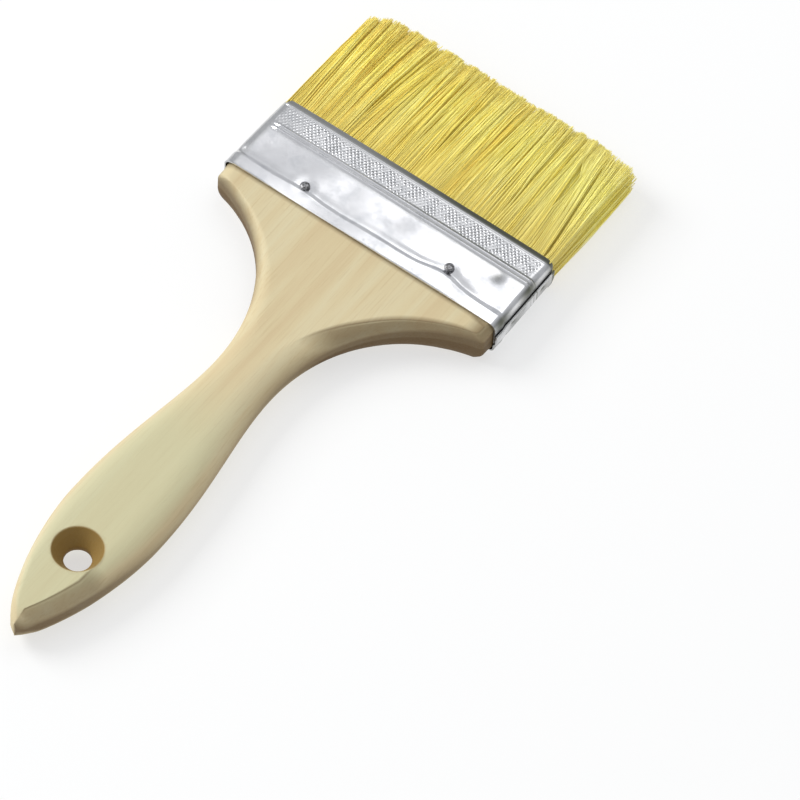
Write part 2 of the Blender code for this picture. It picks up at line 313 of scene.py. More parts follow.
@contextmanager
def editing(piece: Piece, select: str = "VERT") -> Iterator[None]:
    """Edit a piece in edit mode with all of it selected, and go back to object mode after.

    Args:
        piece: The piece.
        select: What is selected: "VERT", "EDGE" or "FACE".

    Yields:
        Nothing.
    """
    only(piece)
    bpy.ops.object.mode_set(mode="EDIT")
    bpy.ops.mesh.select_mode(type=select)
    bpy.ops.mesh.select_all(action="SELECT")
    yield
    bpy.ops.object.mode_set(mode="OBJECT")


def named_new(name: str) -> Piece:
    """Name the primitive just added and put its place into its mesh.

    Args:
        name: The piece's name.

    Returns:
        The new piece.
    """
    piece = bpy.context.active_object
    piece.name = name
    piece.data.name = name
    bpy.ops.object.transform_apply(location=True, rotation=True, scale=True)
    return piece


def vertices_of(piece: Piece) -> Array:
    """The places of a piece's vertices, one row each."""
    points = np.empty(len(piece.data.vertices) * 3)
    piece.data.vertices.foreach_get("co", points)
    return points.reshape(-1, 3)


def move_vertices(piece: Piece, place: Place) -> None:
    """Move every vertex of a piece to where a function puts it.

    Args:
        piece: The piece to shape.
        place: Takes the old places and gives the new ones.
    """
    piece.data.vertices.foreach_set("co", place(vertices_of(piece)).ravel())
    piece.data.update()


def cut_along(piece: Piece, axis: int, cuts: int) -> None:
    """Subdivide the edges that run along one axis.

    Args:
        piece: The piece to cut.
        axis: 0, 1 or 2 for X, Y or Z.
        cuts: How many cuts go into each edge.
    """
    with editing(piece, "EDGE"):
        bpy.ops.mesh.select_all(action="DESELECT")
    points = vertices_of(piece)
    for edge in piece.data.edges:
        run = np.abs(points[edge.vertices[0]] - points[edge.vertices[1]])
        edge.select = bool(run[axis] > 0.9 * np.linalg.norm(run))
    bpy.ops.object.mode_set(mode="EDIT")
    bpy.ops.mesh.subdivide(number_cuts=cuts)
    bpy.ops.object.mode_set(mode="OBJECT")


def apply_modifier(piece: Piece, kind: str, **settings: Any) -> None:
    """Add a modifier and apply it.

    Args:
        piece: The piece it works on.
        kind: The modifier's type.
        **settings: The modifier's properties.
    """
    only(piece)
    modifier = piece.modifiers.new(kind.title(), kind)
    for name, setting in settings.items():
        setattr(modifier, name, setting)
    bpy.ops.object.modifier_apply(modifier=modifier.name)


def smooth_under(piece: Piece, degrees: float) -> None:
    """Shade smooth, with edges sharper than the angle kept crisp."""
    only(piece)
    bpy.ops.object.shade_smooth_by_angle(angle=math.radians(degrees))


def face_outwards(piece: Piece) -> None:
    """Merge doubles and turn the faces of a closed piece outwards."""
    with editing(piece):
        bpy.ops.mesh.remove_doubles(threshold=1e-6)
        bpy.ops.mesh.normals_make_consistent(inside=False)


def paint(piece: Piece, name: str, values: Array) -> None:
    """Store one number a vertex as an attribute that the materials read.

    Args:
        piece: The piece.
        name: The attribute's name.
        values: One number for each vertex.
    """
    layer = piece.data.attributes.new(name, "FLOAT", "POINT")
    layer.data.foreach_set("value", np.asarray(values, dtype=np.float32))


def dress(piece: Piece, material: Material) -> None:
    """Give a new piece its material."""
    piece.data.materials.clear()
    piece.data.materials.append(material)


# ---- Finishes ----

@dataclass(frozen=True)
class RawPoplar:
    """Poplar, planed and sanded but not varnished.

    Close, even grain: a matt cream surface with faint long streaks, fine fibre lines and a grip greyed by
    handling. Painted shade darkens the side walls, the bevel and its crease, the wood under the ferrule's
    mouth and the hang hole.
    """

    light: str = "#D5C9A4"
    mid: str = "#D2C29A"
    dark: str = "#CCB890"
    fibre_dark: str = "#BEA880"
    # Painted shade colour for the side walls, bevel, crease and the wood under the ferrule's mouth
    wall: str = "#583E14"
    # Painted shade colour for the hang hole's walls
    hole_shade_colour: str = "#84620C"
    handled: str = "#C4C49E"
    ring_width: float = 5.5 * MM
    ring_length: float = 150 * MM
    fibre_width: float = 0.55 * MM      # finer in real wood; this coarse to show at arm's length
    fibre_length: float = 14 * MM
    pore_width: float = 0.35 * MM
    pore_length: float = 2.6 * MM
    roughness: float = 0.62

    def material(self) -> Material:
        """Build the wood.

        Returns:
            The material.
        """
        material, shader, place = new_material("Raw sanded poplar")

        def streaks(width: float, length: float, detail: float, distortion: float = 0.0) -> Socket:
            """Noise drawn out along the grain."""
            return noise(scaled(place, (width, length, width)), 1.0, detail, Distortion=distortion)

        rings = streaks(self.ring_width, self.ring_length, 2.0, 0.6)
        fibres = streaks(self.fibre_width, self.fibre_length, 3.0)
        pores = streaks(self.pore_width, self.pore_length, 1.0)
        handled, painted_shade, hole_shade = painted(place, "handled", "painted_shade", "hole_shade")
        colour = ramp(rings, (0.3, self.dark), (0.72, self.light), (0.5, self.mid))
        # What each layer follows, where it starts, where it is full, its greatest share, its colour
        layers = (
            (fibres, 0.52, 0.8, 0.5, self.fibre_dark),
            (pores, 0.63, 0.8, 0.45, self.dark),
            (handled, 0.0, 1.0, 1.0, self.handled),
            # Painted shade on the walls, bevel, crease and the wood under the ferrule's mouth
            (painted_shade, 0.15, 1.05, 0.93, self.wall),
            # Painted shade in the hang hole
            (hole_shade, 0.0, 1.0, 0.86, self.hole_shade_colour),
        )
        for source, start, full, most, layer in layers:
            colour = tint(colour, remap(source, start, full, 0.0, most), layer)
        relief = add_node(material.node_tree, "ShaderNodeMath", links={0: fibres, 1: pores},
                          operation="SUBTRACT")
        feed(shader, {"Specular IOR Level": 0.35},
             {"Base Color": colour, "Normal": bumped(relief, 0.35, 0.12 * MM),
              "Roughness": remap(fibres, 0.3, 0.7, self.roughness - 0.08, self.roughness + 0.1)})
        return material


@dataclass(frozen=True)
class TinPlate:
    """Tin-plated steel sheet, rolled and wrapped.

    Bright and a little uneven: soft mirror reflections, fine rolling lines, smudges, and a knurled band
    that scatters the light. Painted shade and painted dark reflections darken its grooves, the lip under
    the hair, the seam side, the left corner and the first knock.
    """

    bright: str = "#EFEFF1"
    dull: str = "#DADBDE"
    # Colour of the painted shade and painted dark reflections on the sheet
    tin_shade_colour: str = "#63655B"
    knurl_pitch: float = 1.1 * MM
    knurl_degrees: float = 38.0
    rolling_width: float = 0.25 * MM
    rolling_length: float = 30 * MM
    smudge: float = 7 * MM
    patch: float = 2.2 * MM

    def material(self) -> Material:
        """Build the sheet.

        Returns:
            The material.
        """
        material, shader, place = new_material("Tin-plated sheet steel")
        # tin_shade carries painted shade and painted dark reflections
        tin_shade, band = painted(place, "tin_shade", "knurled")
        smudges = noise(place, self.smudge, 4.0, Roughness=0.6)
        tone = ramp(smudges, (0.32, self.dull), (0.52, self.bright))
        gloss = times(band, 0.16, remap(smudges, 0.3, 0.7, 0.25, 0.13))

        knurl = times(band, remap(noise(place, self.patch), 0.38, 0.62, 0.4, 3.2))
        for lean in (self.knurl_degrees, -self.knurl_degrees):
            turned = scaled(place, (self.knurl_pitch,) * 3, lean)
            slant = add_node(material.node_tree, "ShaderNodeTexWave",
                             {"Scale": 0.32, "Distortion": 1.2, "Detail": 1.0, "Detail Scale": 0.6},
                             {"Vector": turned}, out="Fac")
            knurl = times(knurl, slant)
        rolled = scaled(place, (self.rolling_length, self.rolling_width, self.rolling_width))
        fine = times(noise(rolled, 1.0), 0.12, knurl)
        feed(shader, {"Metallic": 1.0},
             {"Base Color": tint(tone, tin_shade, self.tin_shade_colour), "Roughness": times(tin_shade, 0.2, gloss),
              "Normal": bumped(fine, 0.8, 0.18 * MM)})
        return material


@dataclass(frozen=True)
class BrightNailSteel:
    """Drawn steel wire nails, headed cold: grey metal with small hammer pits."""

    bright: str = "#A2A2A4"
    dark: str = "#4C4A48"
    pit: float = 0.6 * MM

    def material(self) -> Material:
        """Build the steel.

        Returns:
            The material.
        """
        material, shader, place = new_material("Bright drawn nail steel")
        pits = noise(place, self.pit, 3.0)
        feed(shader, {"Metallic": 1.0},
             {"Base Color": ramp(pits, (0.35, self.dark), (0.6, self.bright)),
              "Roughness": remap(pits, 0.3, 0.7, 0.5, 0.28), "Normal": bumped(pits, 0.6, 0.08 * MM)})
        return material


@dataclass(frozen=True)
class SettingResin:
    """Hardened brush-setting resin: brown, glossy, with small bubbles."""

    clear: str = "#8A5A2C"
    deep: str = "#4E2F16"
    bubble: float = 1.2 * MM

    def material(self) -> Material:
        """Build the resin.

        Returns:
            The material.
        """
        material, shader, place = new_material("Hardened setting resin")
        bubbles = add_node(material.node_tree, "ShaderNodeTexVoronoi", {"Scale": 1 / self.bubble},
                           {"Vector": place}, out="Distance")
        feed(shader, {"Roughness": 0.25, "IOR": 1.54},
             {"Base Color": ramp(bubbles, (0.15, self.deep), (0.6, self.clear)),
              "Normal": bumped(bubbles, 0.4, 0.1 * MM)})
        return material


@dataclass(frozen=True)
class HogBristle:
    """Bleached hog bristle: stiff yellow hairs with a waxy gloss, each of its own tone."""

    root: str = "#DABF60"
    pale: str = "#FFF898"
    warm: str = "#FFF078"
    deep: str = "#F4D25A"
    tip: str = "#FFEF9C"
    blotch: float = 9 * MM
    roughness: float = 0.42
    light_through: float = 0.05         # stands in for light that passes through the thin hairs

    def material(self) -> Material:
        """Build the hair.

        Returns:
            The material.
        """
        material, shader, place = new_material("Bleached hog bristle")
        # tone also carries painted light: the hairs are paler towards the right
        tone, along = painted(place, "tone", "along")
        mixed = times(noise(place, self.blotch), 0.35, tone)
        colour = ramp(mixed, (0.16, self.deep), (0.95, self.pale), (0.55, self.warm))
        colour = tint(colour, remap(along, 0.25, 0.7, 0.6, 0.0), self.root)
        colour = tint(colour, remap(along, 0.8, 1.0, 0.0, 0.35), self.tip)
        feed(shader, {"Emission Strength": self.light_through, "Roughness": self.roughness, "IOR": 1.55,
                      "Specular IOR Level": 0.3},
             {"Base Color": colour, "Emission Color": colour})
        return material


# ---- Handle ----

@dataclass
class Handle:
    """Grip, head and tenon cut from one board, with rounded edges and a countersunk hang hole."""

    levels: Levels
    tail_tip_half: float = 1.2 * MM
    belly_at: float = 50.0 * MM
    belly_half: float = 16.3 * MM
    neck_at: float = 112.0 * MM
    neck_half: float = 10.3 * MM
    head_straight: float = 4.0 * MM
    head_corner: float = 1.3 * MM
    tenon: float = 12.0 * MM
    tail_edge: float = 5.0 * MM
    tail_cut: float = 3.2 * MM
    tail_blunt: float = 1.6 * MM
    hole_at: float = 30.5 * MM
    hole_rim: float = 7.9 * MM
    hole_throat: float = 4.3 * MM
    throat_length: float = 1.6 * MM
    rim_round: float = 0.7 * MM
    cutter_past: float = 3.0 * MM       # how far the hole's cutter reaches out past its rim
    hole_soft: float = 0.5 * MM         # how far the hole's painted shade reaches past its rim
    hole_steps: int = 96
    wall_steps: int = 3
    arc_steps: int = 16
    face_steps: int = 8
    crisp_degrees: float = 32.0
    crease_half: float = 0.32 * MM
    shade_eased_at: float = 78 * MM
    shade_eased_reach: float = 42 * MM

    # Distances from the tail over which painted shade comes on the head's walls, the left wall and the
    # bevel, and over which the grip's grey fades
    head_walls: Span = (118 * MM, 138 * MM)
    left_wall: Span = (122 * MM, 140 * MM)
    bevel_shade_comes: Span = (128 * MM, 142 * MM)
    grey_fades: Span = (76 * MM, 112 * MM)

    # Heights of the tenon's rings above the ferrule's mouth, in millimetres
    tenon_rings: tuple[float, ...] = (0.0, 1.0, 3.0, 4.4, 5.4, 6.4, 8.0, 11.2, 12.0)

    # Edge rounding in rows of: distance from the tail, reach over the face, reach down the wall, all
    # in millimetres, and degrees of arc. An arc of 90 runs into the face smoothly; a shorter one
    # leaves a crease.
    right_rounding: tuple[tuple[float, float, float, float], ...] = (
        (0.0, 4.2, 5.0, 35.0),
        (12.0, 4.4, 5.0, 35.0),
        (22.0, 4.4, 4.8, 45.0),
        (32.0, 7.0, 5.2, 78.0),
        (50.0, 10.6, 5.9, 90.0),
        (100.0, 9.0, 5.9, 90.0),
        (122.0, 7.4, 5.6, 84.0),
        (136.0, 5.4, 5.0, 58.0),
        (148.0, 3.4, 4.4, 38.0),
        (162.0, 2.5, 4.0, 32.0),
        (169.5, 2.2, 3.6, 32.0),
        (170.5, 2.2, 2.2, 90.0),
    )
    left_rounding: tuple[tuple[float, float, float, float], ...] = (
        (0.0, 2.4, 3.2, 80.0),
        (20.0, 3.2, 3.6, 90.0),
        (50.0, 8.0, 5.7, 90.0),
        (108.0, 7.6, 5.7, 90.0),
        (134.0, 6.6, 5.2, 90.0),
        (150.0, 5.4, 4.6, 88.0),
        (169.5, 4.4, 4.0, 80.0),
        (170.5, 2.2, 2.2, 90.0),
    )

    @property
    def length(self) -> float:
        """Length of the grip and head, up to the ferrule's mouth."""
        return self.levels.mouth - self.levels.tail

    @property
    def corner_at(self) -> float:
        """Distance from the tail to the head's corners."""
        return self.length - self.head_straight

    @property
    def quarter(self) -> int:
        """Steps in a quarter of a ring."""
        return self.wall_steps + self.arc_steps + self.face_steps

    def rounding(self, along: Array, rows: Sequence[Sequence[float]]) -> list[Array]:
        """Read a table of edge rounding.

        Args:
            along: Distances from the tail.
            rows: The table.

        Returns:
            Reach over the face, reach down the wall and degrees of arc at each distance.
        """
        at, over, down, arc = np.array(rows).T
        return [np.interp(along, at * MM, column) for column in (over * MM, down * MM, arc)]

    def outline(self) -> tuple[Array, Array]:
        """The half width all along the grip and head.

        Returns:
            Distances from the tail and the half width at each.
        """
        head_half = self.levels.head_half
        grip_run = self.neck_at - self.belly_at
        head_run = self.corner_at - self.neck_at
        tip = Vector((0.0, self.tail_tip_half, 0.0))
        belly = Vector((self.belly_at, self.belly_half, 0.0))
        neck = Vector((self.neck_at, self.neck_half, 0.0))
        head = Vector((self.corner_at - self.head_corner, head_half - self.head_corner, 0.0))
        stretches = (
            (tip, tip + Vector((0.12 * self.belly_at, 0.42 * self.belly_half, 0.0)),
             belly - Vector((0.36 * self.belly_at, 0.0, 0.0)), belly),
            (belly, belly + Vector((0.42 * grip_run, 0.0, 0.0)),
             neck - Vector((0.29 * grip_run, 0.0, 0.0)), neck),
            (neck, neck + Vector((0.46 * head_run, 0.0, 0.0)),
             head - Vector((0.12 * head_run, 0.62 * (head_half - self.neck_half), 0.0)), head),
        )
        points = [point for stretch in stretches for point in interpolate_bezier(*stretch, 90)]
        turns = np.radians((20, 40, 60, 80, 90))
        along = np.concatenate(([point.x for point in points],
                                self.corner_at - self.head_corner * np.cos(turns),
                                [self.length + self.tenon]))
        half = np.concatenate(([point.y for point in points],
                               head_half - self.head_corner * (1 - np.sin(turns)), [head_half]))
        return along, half

    def stations(self) -> Array:
        """Distances from the tail at which the handle has a ring of vertices."""
        tip = self.tail_edge * (1 - np.cos(np.linspace(0.06, 1.0, 14) * math.pi / 2))
        body = np.arange(self.tail_edge + 0.7 * MM, self.corner_at - 3 * MM, 0.95 * MM)
        corner = np.arange(body[-1] + 0.35 * MM, self.corner_at + 0.5 * MM, 0.22 * MM)
        neck = np.arange(corner[-1] + 0.8 * MM, self.length, 1.0 * MM)
        tenon = self.length + np.array(self.tenon_rings) * MM
        return np.concatenate((tip, body, corner, neck, tenon))

    def build(self) -> Piece:
        """Model the handle.

        Returns:
            The finished piece, not yet dressed.
        """
        stations = self.stations()
        spans = len(stations) - 1
        nothing_selected()
        bpy.ops.mesh.primitive_cylinder_add(
            vertices=4 * self.quarter, radius=self.levels.half_depth, depth=spans,
            location=(0.0, spans / 2, 0.0), rotation=(math.pi / 2, 0.0, 0.0))
        handle = named_new("handle_wood")
        cut_along(handle, 1, spans - 1)
        move_vertices(handle, lambda points: self._ring_places(points, stations))
        face_outwards(handle)
        cutter = self._hole_cutter()
        apply_modifier(handle, "BOOLEAN", operation="DIFFERENCE", solver="EXACT", object=cutter)
        bpy.data.objects.remove(cutter, do_unlink=True)
        smooth_under(handle, self.crisp_degrees)
        apply_modifier(handle, "WEIGHTED_NORMAL", keep_sharp=True, weight=60)
        self._paint(handle)
        return handle

    def _paint(self, handle: Piece) -> None:
        """Paint shade onto the walls, bevel, crease, the edge under the ferrule and the hang hole, and grey
        where hands have handled the grip.
        """
        points = vertices_of(handle)
        normals = np.array([vertex.normal for vertex in handle.data.vertices])
        along = points[:, 1] - self.levels.tail
        flat = np.abs(normals[:, 2])
        from_hole = np.hypot(points[:, 0], along - self.hole_at)
        # Painted shade on the hang hole's walls, fading just past its rim
        hole_shade = 1 - smooth_step(from_hole, self.hole_rim - 0.2 * MM, self.hole_rim + self.hole_soft)
        # Painted shade: the head's walls darken down to their lower edges, and the left side takes more of
        # it near the head
        below = smooth_step(self.levels.middle - points[:, 2], 0.0, 2 * MM)
        below = below * smooth_step(along, *self.head_walls)
        level = flat * (1 - below * 0.75 * (1 - smooth_step(flat, 0.85, 0.98)))
        left_share = 0.2 + 0.75 * smooth_step(along, *self.left_wall)
        # Painted shade eases off around the middle of the grip
        shade_eased = 1 - 0.5 * bump_at(along, self.shade_eased_at, self.shade_eased_reach)
        painted_shade = (1 - level + 0.3 * below) * np.where(normals[:, 0] < 0, left_share, 1.0) * shade_eased
        # Painted shade along the wood just under the ferrule's mouth
        mouth_edge = 0.7 * smooth_step(along, self.length - 0.9 * MM, self.length - 0.1 * MM)
        all_painted_shade = np.max((painted_shade, self._bevel(points), mouth_edge), axis=0)
        handled = 0.6 * smooth_step(flat, 0.72, 0.98) * (1 - smooth_step(along, *self.grey_fades))
        paint(handle, "painted_shade", all_painted_shade * (1 - hole_shade))
        paint(handle, "hole_shade", hole_shade)
        paint(handle, "handled", handled)

    def _bevel(self, points: Array) -> Array:
        """Painted shade on the right-hand bevel, darker than the face, with a painted shade line along its
        crease.

        Args:
            points: The finished handle's vertices.

        Returns:
            0 on the face, up to 1 past the crease.
        """
        along = points[:, 1] - self.levels.tail
        over, _, arc = self.rounding(along, self.right_rounding)
        crisp = smooth_step(80 - arc, 0.0, 30.0) * smooth_step(along, 1 * MM, 4 * MM)
        up = smooth_step(np.abs(points[:, 2] - self.levels.middle), 5.6 * MM, 6.3 * MM)
        past = points[:, 0] - (np.interp(along, *self.outline()) - over)
        strength = 0.58 + 0.14 * smooth_step(along, *self.bevel_shade_comes)
        bevel = strength * crisp * smooth_step(past, 0.0, 0.7 * MM)
        crease = 0.95 * crisp * up * bump_at(past, 0.1 * MM, self.crease_half)
        return np.maximum(crease, bevel)

    def _ring_places(self, points: Array, stations: Array) -> Array:
        """Put the cylinder's rings on the handle's sections.

        Args:
            points: The cylinder's vertices; Y counts the rings.
            stations: Distance from the tail of each ring.

        Returns:
            The new places.
        """
        wall, arc, quarter = self.wall_steps, self.arc_steps, self.quarter
        along = stations[np.clip(np.rint(points[:, 1]).astype(int), 0, len(stations) - 1)]
        step = np.rint(np.arctan2(points[:, 2], points[:, 0]) / (2 * math.pi) * 4 * quarter).astype(int)
        level = np.where(step >= 0, 1.0, -1.0)
        turned = np.abs(step)
        side = np.where(turned <= quarter, 1.0, -1.0)
        index = np.where(turned <= quarter, turned, 2 * quarter - turned)

        # The tail is cut back on both faces and blunt at its tip; the tenon is drawn in all round
        back = 1 - np.clip(along / self.tail_edge, 0.0, 1.0)
        blunt = 1 - np.clip(along / self.tail_blunt, 0.0, 1.0)
        half = np.interp(along, *self.outline()) * (0.2 + 0.8 * np.sqrt(1 - blunt ** 2))
        depth = self.levels.half_depth - self.tail_cut * (0.6 * back + 0.4 * back ** 3)
        rise = along - self.length
        drawn = 0.25 * MM * smooth_step(rise, -0.2 * MM, 0.8 * MM)
        drawn += 0.35 * MM * bump_at(rise, 5.4 * MM, 1.6 * MM)
        drawn += 0.8 * MM * smooth_step(rise, 11.0 * MM, 12.0 * MM)
        half = half - drawn
        depth = depth - drawn

        right, left = (self.rounding(along, rows) for rows in (self.right_rounding, self.left_rounding))
        over, down, arc_degrees = (np.where(side > 0, r, l) for r, l in zip(right, left))
        over = np.minimum(over, 0.92 * half)
        down = np.minimum(down, 0.92 * depth)
        full = np.radians(arc_degrees)
        angle = np.clip((index - wall) / arc, 0.0, 1.0) * full
        up_wall = np.clip(index / wall, 0.0, 1.0)
        in_face = np.clip((index - wall - arc) / self.face_steps, 0.0, 1.0)
        x = (half - over * (1 - np.cos(angle)) / (1 - np.cos(full))) * (1.0 - in_face)
        z = (depth - down) * up_wall + down * np.sin(angle) / np.sin(full)
        return np.column_stack((side * x, self.levels.tail + along, self.levels.middle + level * z))

    def _hole_cutter(self) -> Piece:
        """The hang hole's shape, spun about its own axis.

        Returns:
            A closed cutter.
        """
        depth = self.levels.half_depth
        throat = self.throat_length / 2
        slope = (self.hole_rim - self.hole_throat) / (depth - throat)
        arc = math.pi / 2 - math.atan(slope)
        foot = self.rim_round * math.tan(arc / 2)
        shares = (0.12, 0.4, 0.7, 1.0)
        rounded = [(self.hole_rim + foot - self.rim_round * math.sin(arc * share),
                    depth - self.rim_round * (1 - math.cos(arc * share))) for share in shares]
        mouth = (rounded[0][0] + self.cutter_past,
                 rounded[0][1] + self.cutter_past * math.tan(arc * shares[0]) + 0.02 * MM)
        cone_foot = (self.hole_throat + 0.25 * MM * slope, throat + 0.25 * MM)
        upper = [(0.0, mouth[1]), mouth, *rounded, cone_foot, (self.hole_throat, throat - 0.1 * MM),
                 (self.hole_throat, 0.0)]
        full = upper + [(radius, -height) for radius, height in reversed(upper[:-1])]
        centre = Vector((0.0, self.levels.tail + self.hole_at, self.levels.middle))
        mesh = bpy.data.meshes.new("hang_hole_cutter")
        mesh.from_pydata([centre + Vector((radius, 0.0, height)) for radius, height in full],
                         [(i, i + 1) for i in range(len(full) - 1)], [])
        cutter = bpy.data.objects.new("hang_hole_cutter", mesh)
        bpy.context.scene.collection.objects.link(cutter)
        with editing(cutter):
            bpy.ops.mesh.spin(steps=self.hole_steps, angle=2 * math.pi, center=centre,
                              axis=(0.0, 0.0, 1.0))
        face_outwards(cutter)
        return cutter

    def make(self, wood: Material) -> None:
        """Build the handle and put it in the place of its CAD node."""
        handle = self.build()
        dress(handle, wood)
        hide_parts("handle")
        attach(handle, Body.HANDLE.value)
        LOG.info("handle: %d faces", len(handle.data.polygons))


# ---- Ferrule ----

@dataclass(frozen=True)
class Spots:
    """Places on the ferrule's sheet, with one number for each vertex in each field.

    rise is the height above the lower edge, x the place across, z the place from the middle level,
    normal_x and normal_z point outwards, and lapped is 1 on the seam's outer layer.
    """

    rise: Array
    x: Array
    z: Array
    normal_x: Array
    normal_z: Array
    lapped: Array

    @property
    def broad(self) -> Array:
        """1 on the broad faces, falling to 0 round the corners."""
        return self.normal_z ** 2

    def on(self, facing: Facing) -> Array:
        """1 on one broad face and 0 elsewhere."""
        return (self.normal_z * facing.value > 0.5).astype(float)


@dataclass
class Ferrule:
    """Tin-plated strip wrapped round the handle's head and lapped on the right narrow side."""

    levels: Levels
    height: float = 31.0 * MM
    half_width_low: float = 51.0 * MM
    half_width_high: float = 50.5 * MM
    corner: float = 2.8 * MM
    sheet: float = 0.5 * MM
    gap: float = 0.3 * MM
    overlap: float = 3.4 * MM
    joggle: float = 1.6 * MM
    groove_at: float = 5.4 * MM
    groove_half: float = 0.75 * MM
    groove_depth: float = 0.5 * MM
    bead_at: float = 19.6 * MM
    bead_pitch: float = 1.5 * MM
    bead_half: float = 0.45 * MM
    bead_height: float = 0.55 * MM
    band_low: float = 21.2 * MM
    band_high: float = 28.0 * MM
    weave_pitch: float = 2.1 * MM
    weave_height: float = 0.07 * MM
    rim_line_at: float = 28.8 * MM
    rim_line_height: float = 0.2 * MM
    rim_turned_in: float = 0.4 * MM
    wave_height: float = 0.06 * MM
    crown: float = 0.45 * MM
    crown_reach: float = 50.0 * MM
    press_depth: float = 0.3 * MM
    nail_pull: float = 0.55             # share of a nail's height by which it pulls the groove
    nail_dent: float = 0.1 * MM
    nail_dent_reach: float = 2.1 * MM
    face_columns: int = 190
    corner_columns: int = 9
    crisp_degrees: float = 50.0

    # Heights above the lower edge over which the crown comes, the waves weaken, the painted shade above
    # the beads and the lip's painted shade come, and the rim turns in
    crown_from: Span = (4.4 * MM, 6.4 * MM)
    waves_weaken: Span = (17 * MM, 19 * MM)
    band_shade: Span = (20.5 * MM, 21.5 * MM)
    lip_shade: Span = (28.4 * MM, 29.8 * MM)
    rim_turns: Span = (29.2 * MM, 31.4 * MM)
    # Places across over which the beads come, the knurl comes and the painted shade in the grooves grows
    beads_from: Span = (-48.5 * MM, -44.5 * MM)
    knurl_from: Span = (-44 * MM, -31 * MM)
    groove_shade_grows: Span = (-30 * MM, 25 * MM)

    # Rows of vertices: from, to and step, in millimetres above the lower edge
    spans: tuple[tuple[float, float, float], ...] = (
        (0.0, 0.6, 0.15), (0.6, 3.6, 0.6), (3.6, 8.0, 0.25), (8.0, 18.0, 0.7),
        (18.0, 21.4, 0.18), (21.4, 28.0, 0.42), (28.0, 29.8, 0.2), (29.8, 31.001, 0.24),
    )
    # Half depth of the sheet's outside at heights above its lower edge, in millimetres
    depths: tuple[tuple[float, float], ...] = (
        (0.0, 7.16), (5.4, 7.16), (18.6, 6.88), (21.0, 6.82), (28.6, 6.32), (31.0, 6.2),
    )
    # Nails: across, height above the lower edge, facing
    nails: tuple[tuple[float, float, Facing], ...] = (
        (-25.5 * MM, 6.6 * MM, Facing.FRONT),
        (27.0 * MM, 9.2 * MM, Facing.FRONT),
        (-26.5 * MM, 8.4 * MM, Facing.BACK),
        (25.5 * MM, 6.8 * MM, Facing.BACK),
    )
    # Knocks in the front face: across, height above the lower edge, reach, depth
    knocks: tuple[tuple[float, float, float, float], ...] = (
        (40.5 * MM, 15.6 * MM, 1.9 * MM, 0.32 * MM),
        (4.0 * MM, 12.5 * MM, 6.0 * MM, 0.12 * MM),
        (-14.0 * MM, 14.5 * MM, 5.0 * MM, 0.09 * MM),
        (46.0 * MM, 8.0 * MM, 3.4 * MM, 0.14 * MM),
    )
    # Press marks of the lap seam: heights above the lower edge
    presses: tuple[float, ...] = (9.0 * MM, 15.0 * MM, 24.5 * MM)

    def rises(self) -> Array:
        """Heights above the lower edge at which the strip has a row of vertices."""
        rows = [np.arange(low, high - 0.3 * step, step) for low, high, step in self.spans]
        return np.append(np.concatenate(rows)[:-1], 31.0) * MM

    def half_width(self, rise: Array) -> Array:
        """Half the strip's outside width at heights above its lower edge."""
        return self.half_width_low + (self.half_width_high - self.half_width_low) * rise / self.height

    def columns(self) -> Array:
        """Columns of the strip seen from the end, from its inner end round to its outer end.

        Returns:
            Rows of (x of half width, x offset, z of half depth, z offset, normal x, normal z).
        """
        rc = self.corner
        start = -self.overlap / 2
        out = self.sheet + self.gap
        rows: list[tuple[float, float, float, float, float, float]] = []

        def side(sign: float, low: tuple[float, float], high: tuple[float, float], steps: int,
                 step_out: tuple[float, float] = (0.0, 0.0)) -> None:
            """Add a straight run on a narrow side; low and high are (share of depth, offset)."""
            for share in np.linspace(0.0, 1.0, steps, endpoint=False):
                eased = float(smooth_step(share, 0.0, 1.0))
                rows.append((sign, sign * (step_out[0] + (step_out[1] - step_out[0]) * eased),
                             low[0] + (high[0] - low[0]) * share, low[1] + (high[1] - low[1]) * share,
                             sign, 0.0))

        def turn(side_sign: float, level: float, quarter: int) -> None:
            """Add a rounded corner."""
            for share in np.linspace(0.0, 1.0, self.corner_columns, endpoint=False):
                angle = math.radians(90 * (quarter - 1 + share))
                rows.append((side_sign, -side_sign * rc + rc * math.cos(angle),
                             level, -level * rc + rc * math.sin(angle), math.cos(angle), math.sin(angle)))

        def face(level: float, from_side: float) -> None:
            """Add a broad face."""
            for share in np.linspace(1.0, -1.0, self.face_columns, endpoint=False):
                rows.append((from_side * share, -from_side * share * rc, level, 0.0, 0.0, level))

        side(1.0, (0.0, start), (1.0, -rc), 14)
        turn(1.0, 1.0, 1)
        face(1.0, 1.0)
        turn(-1.0, 1.0, 2)
        side(-1.0, (1.0, -rc), (-1.0, rc), 18)
        turn(-1.0, -1.0, 3)
        face(-1.0, -1.0)
        turn(1.0, -1.0, 0)
        side(1.0, (-1.0, rc), (0.0, start - self.joggle - self.gap), 5)
        side(1.0, (0.0, start - self.joggle - self.gap), (0.0, start - self.gap), 7, (0.0, out))
        side(1.0, (0.0, start - self.gap), (0.0, -start), 12, (out, out))
        rows.append((1.0, out, 0.0, -start, 1.0, 0.0))
        return np.array(rows)

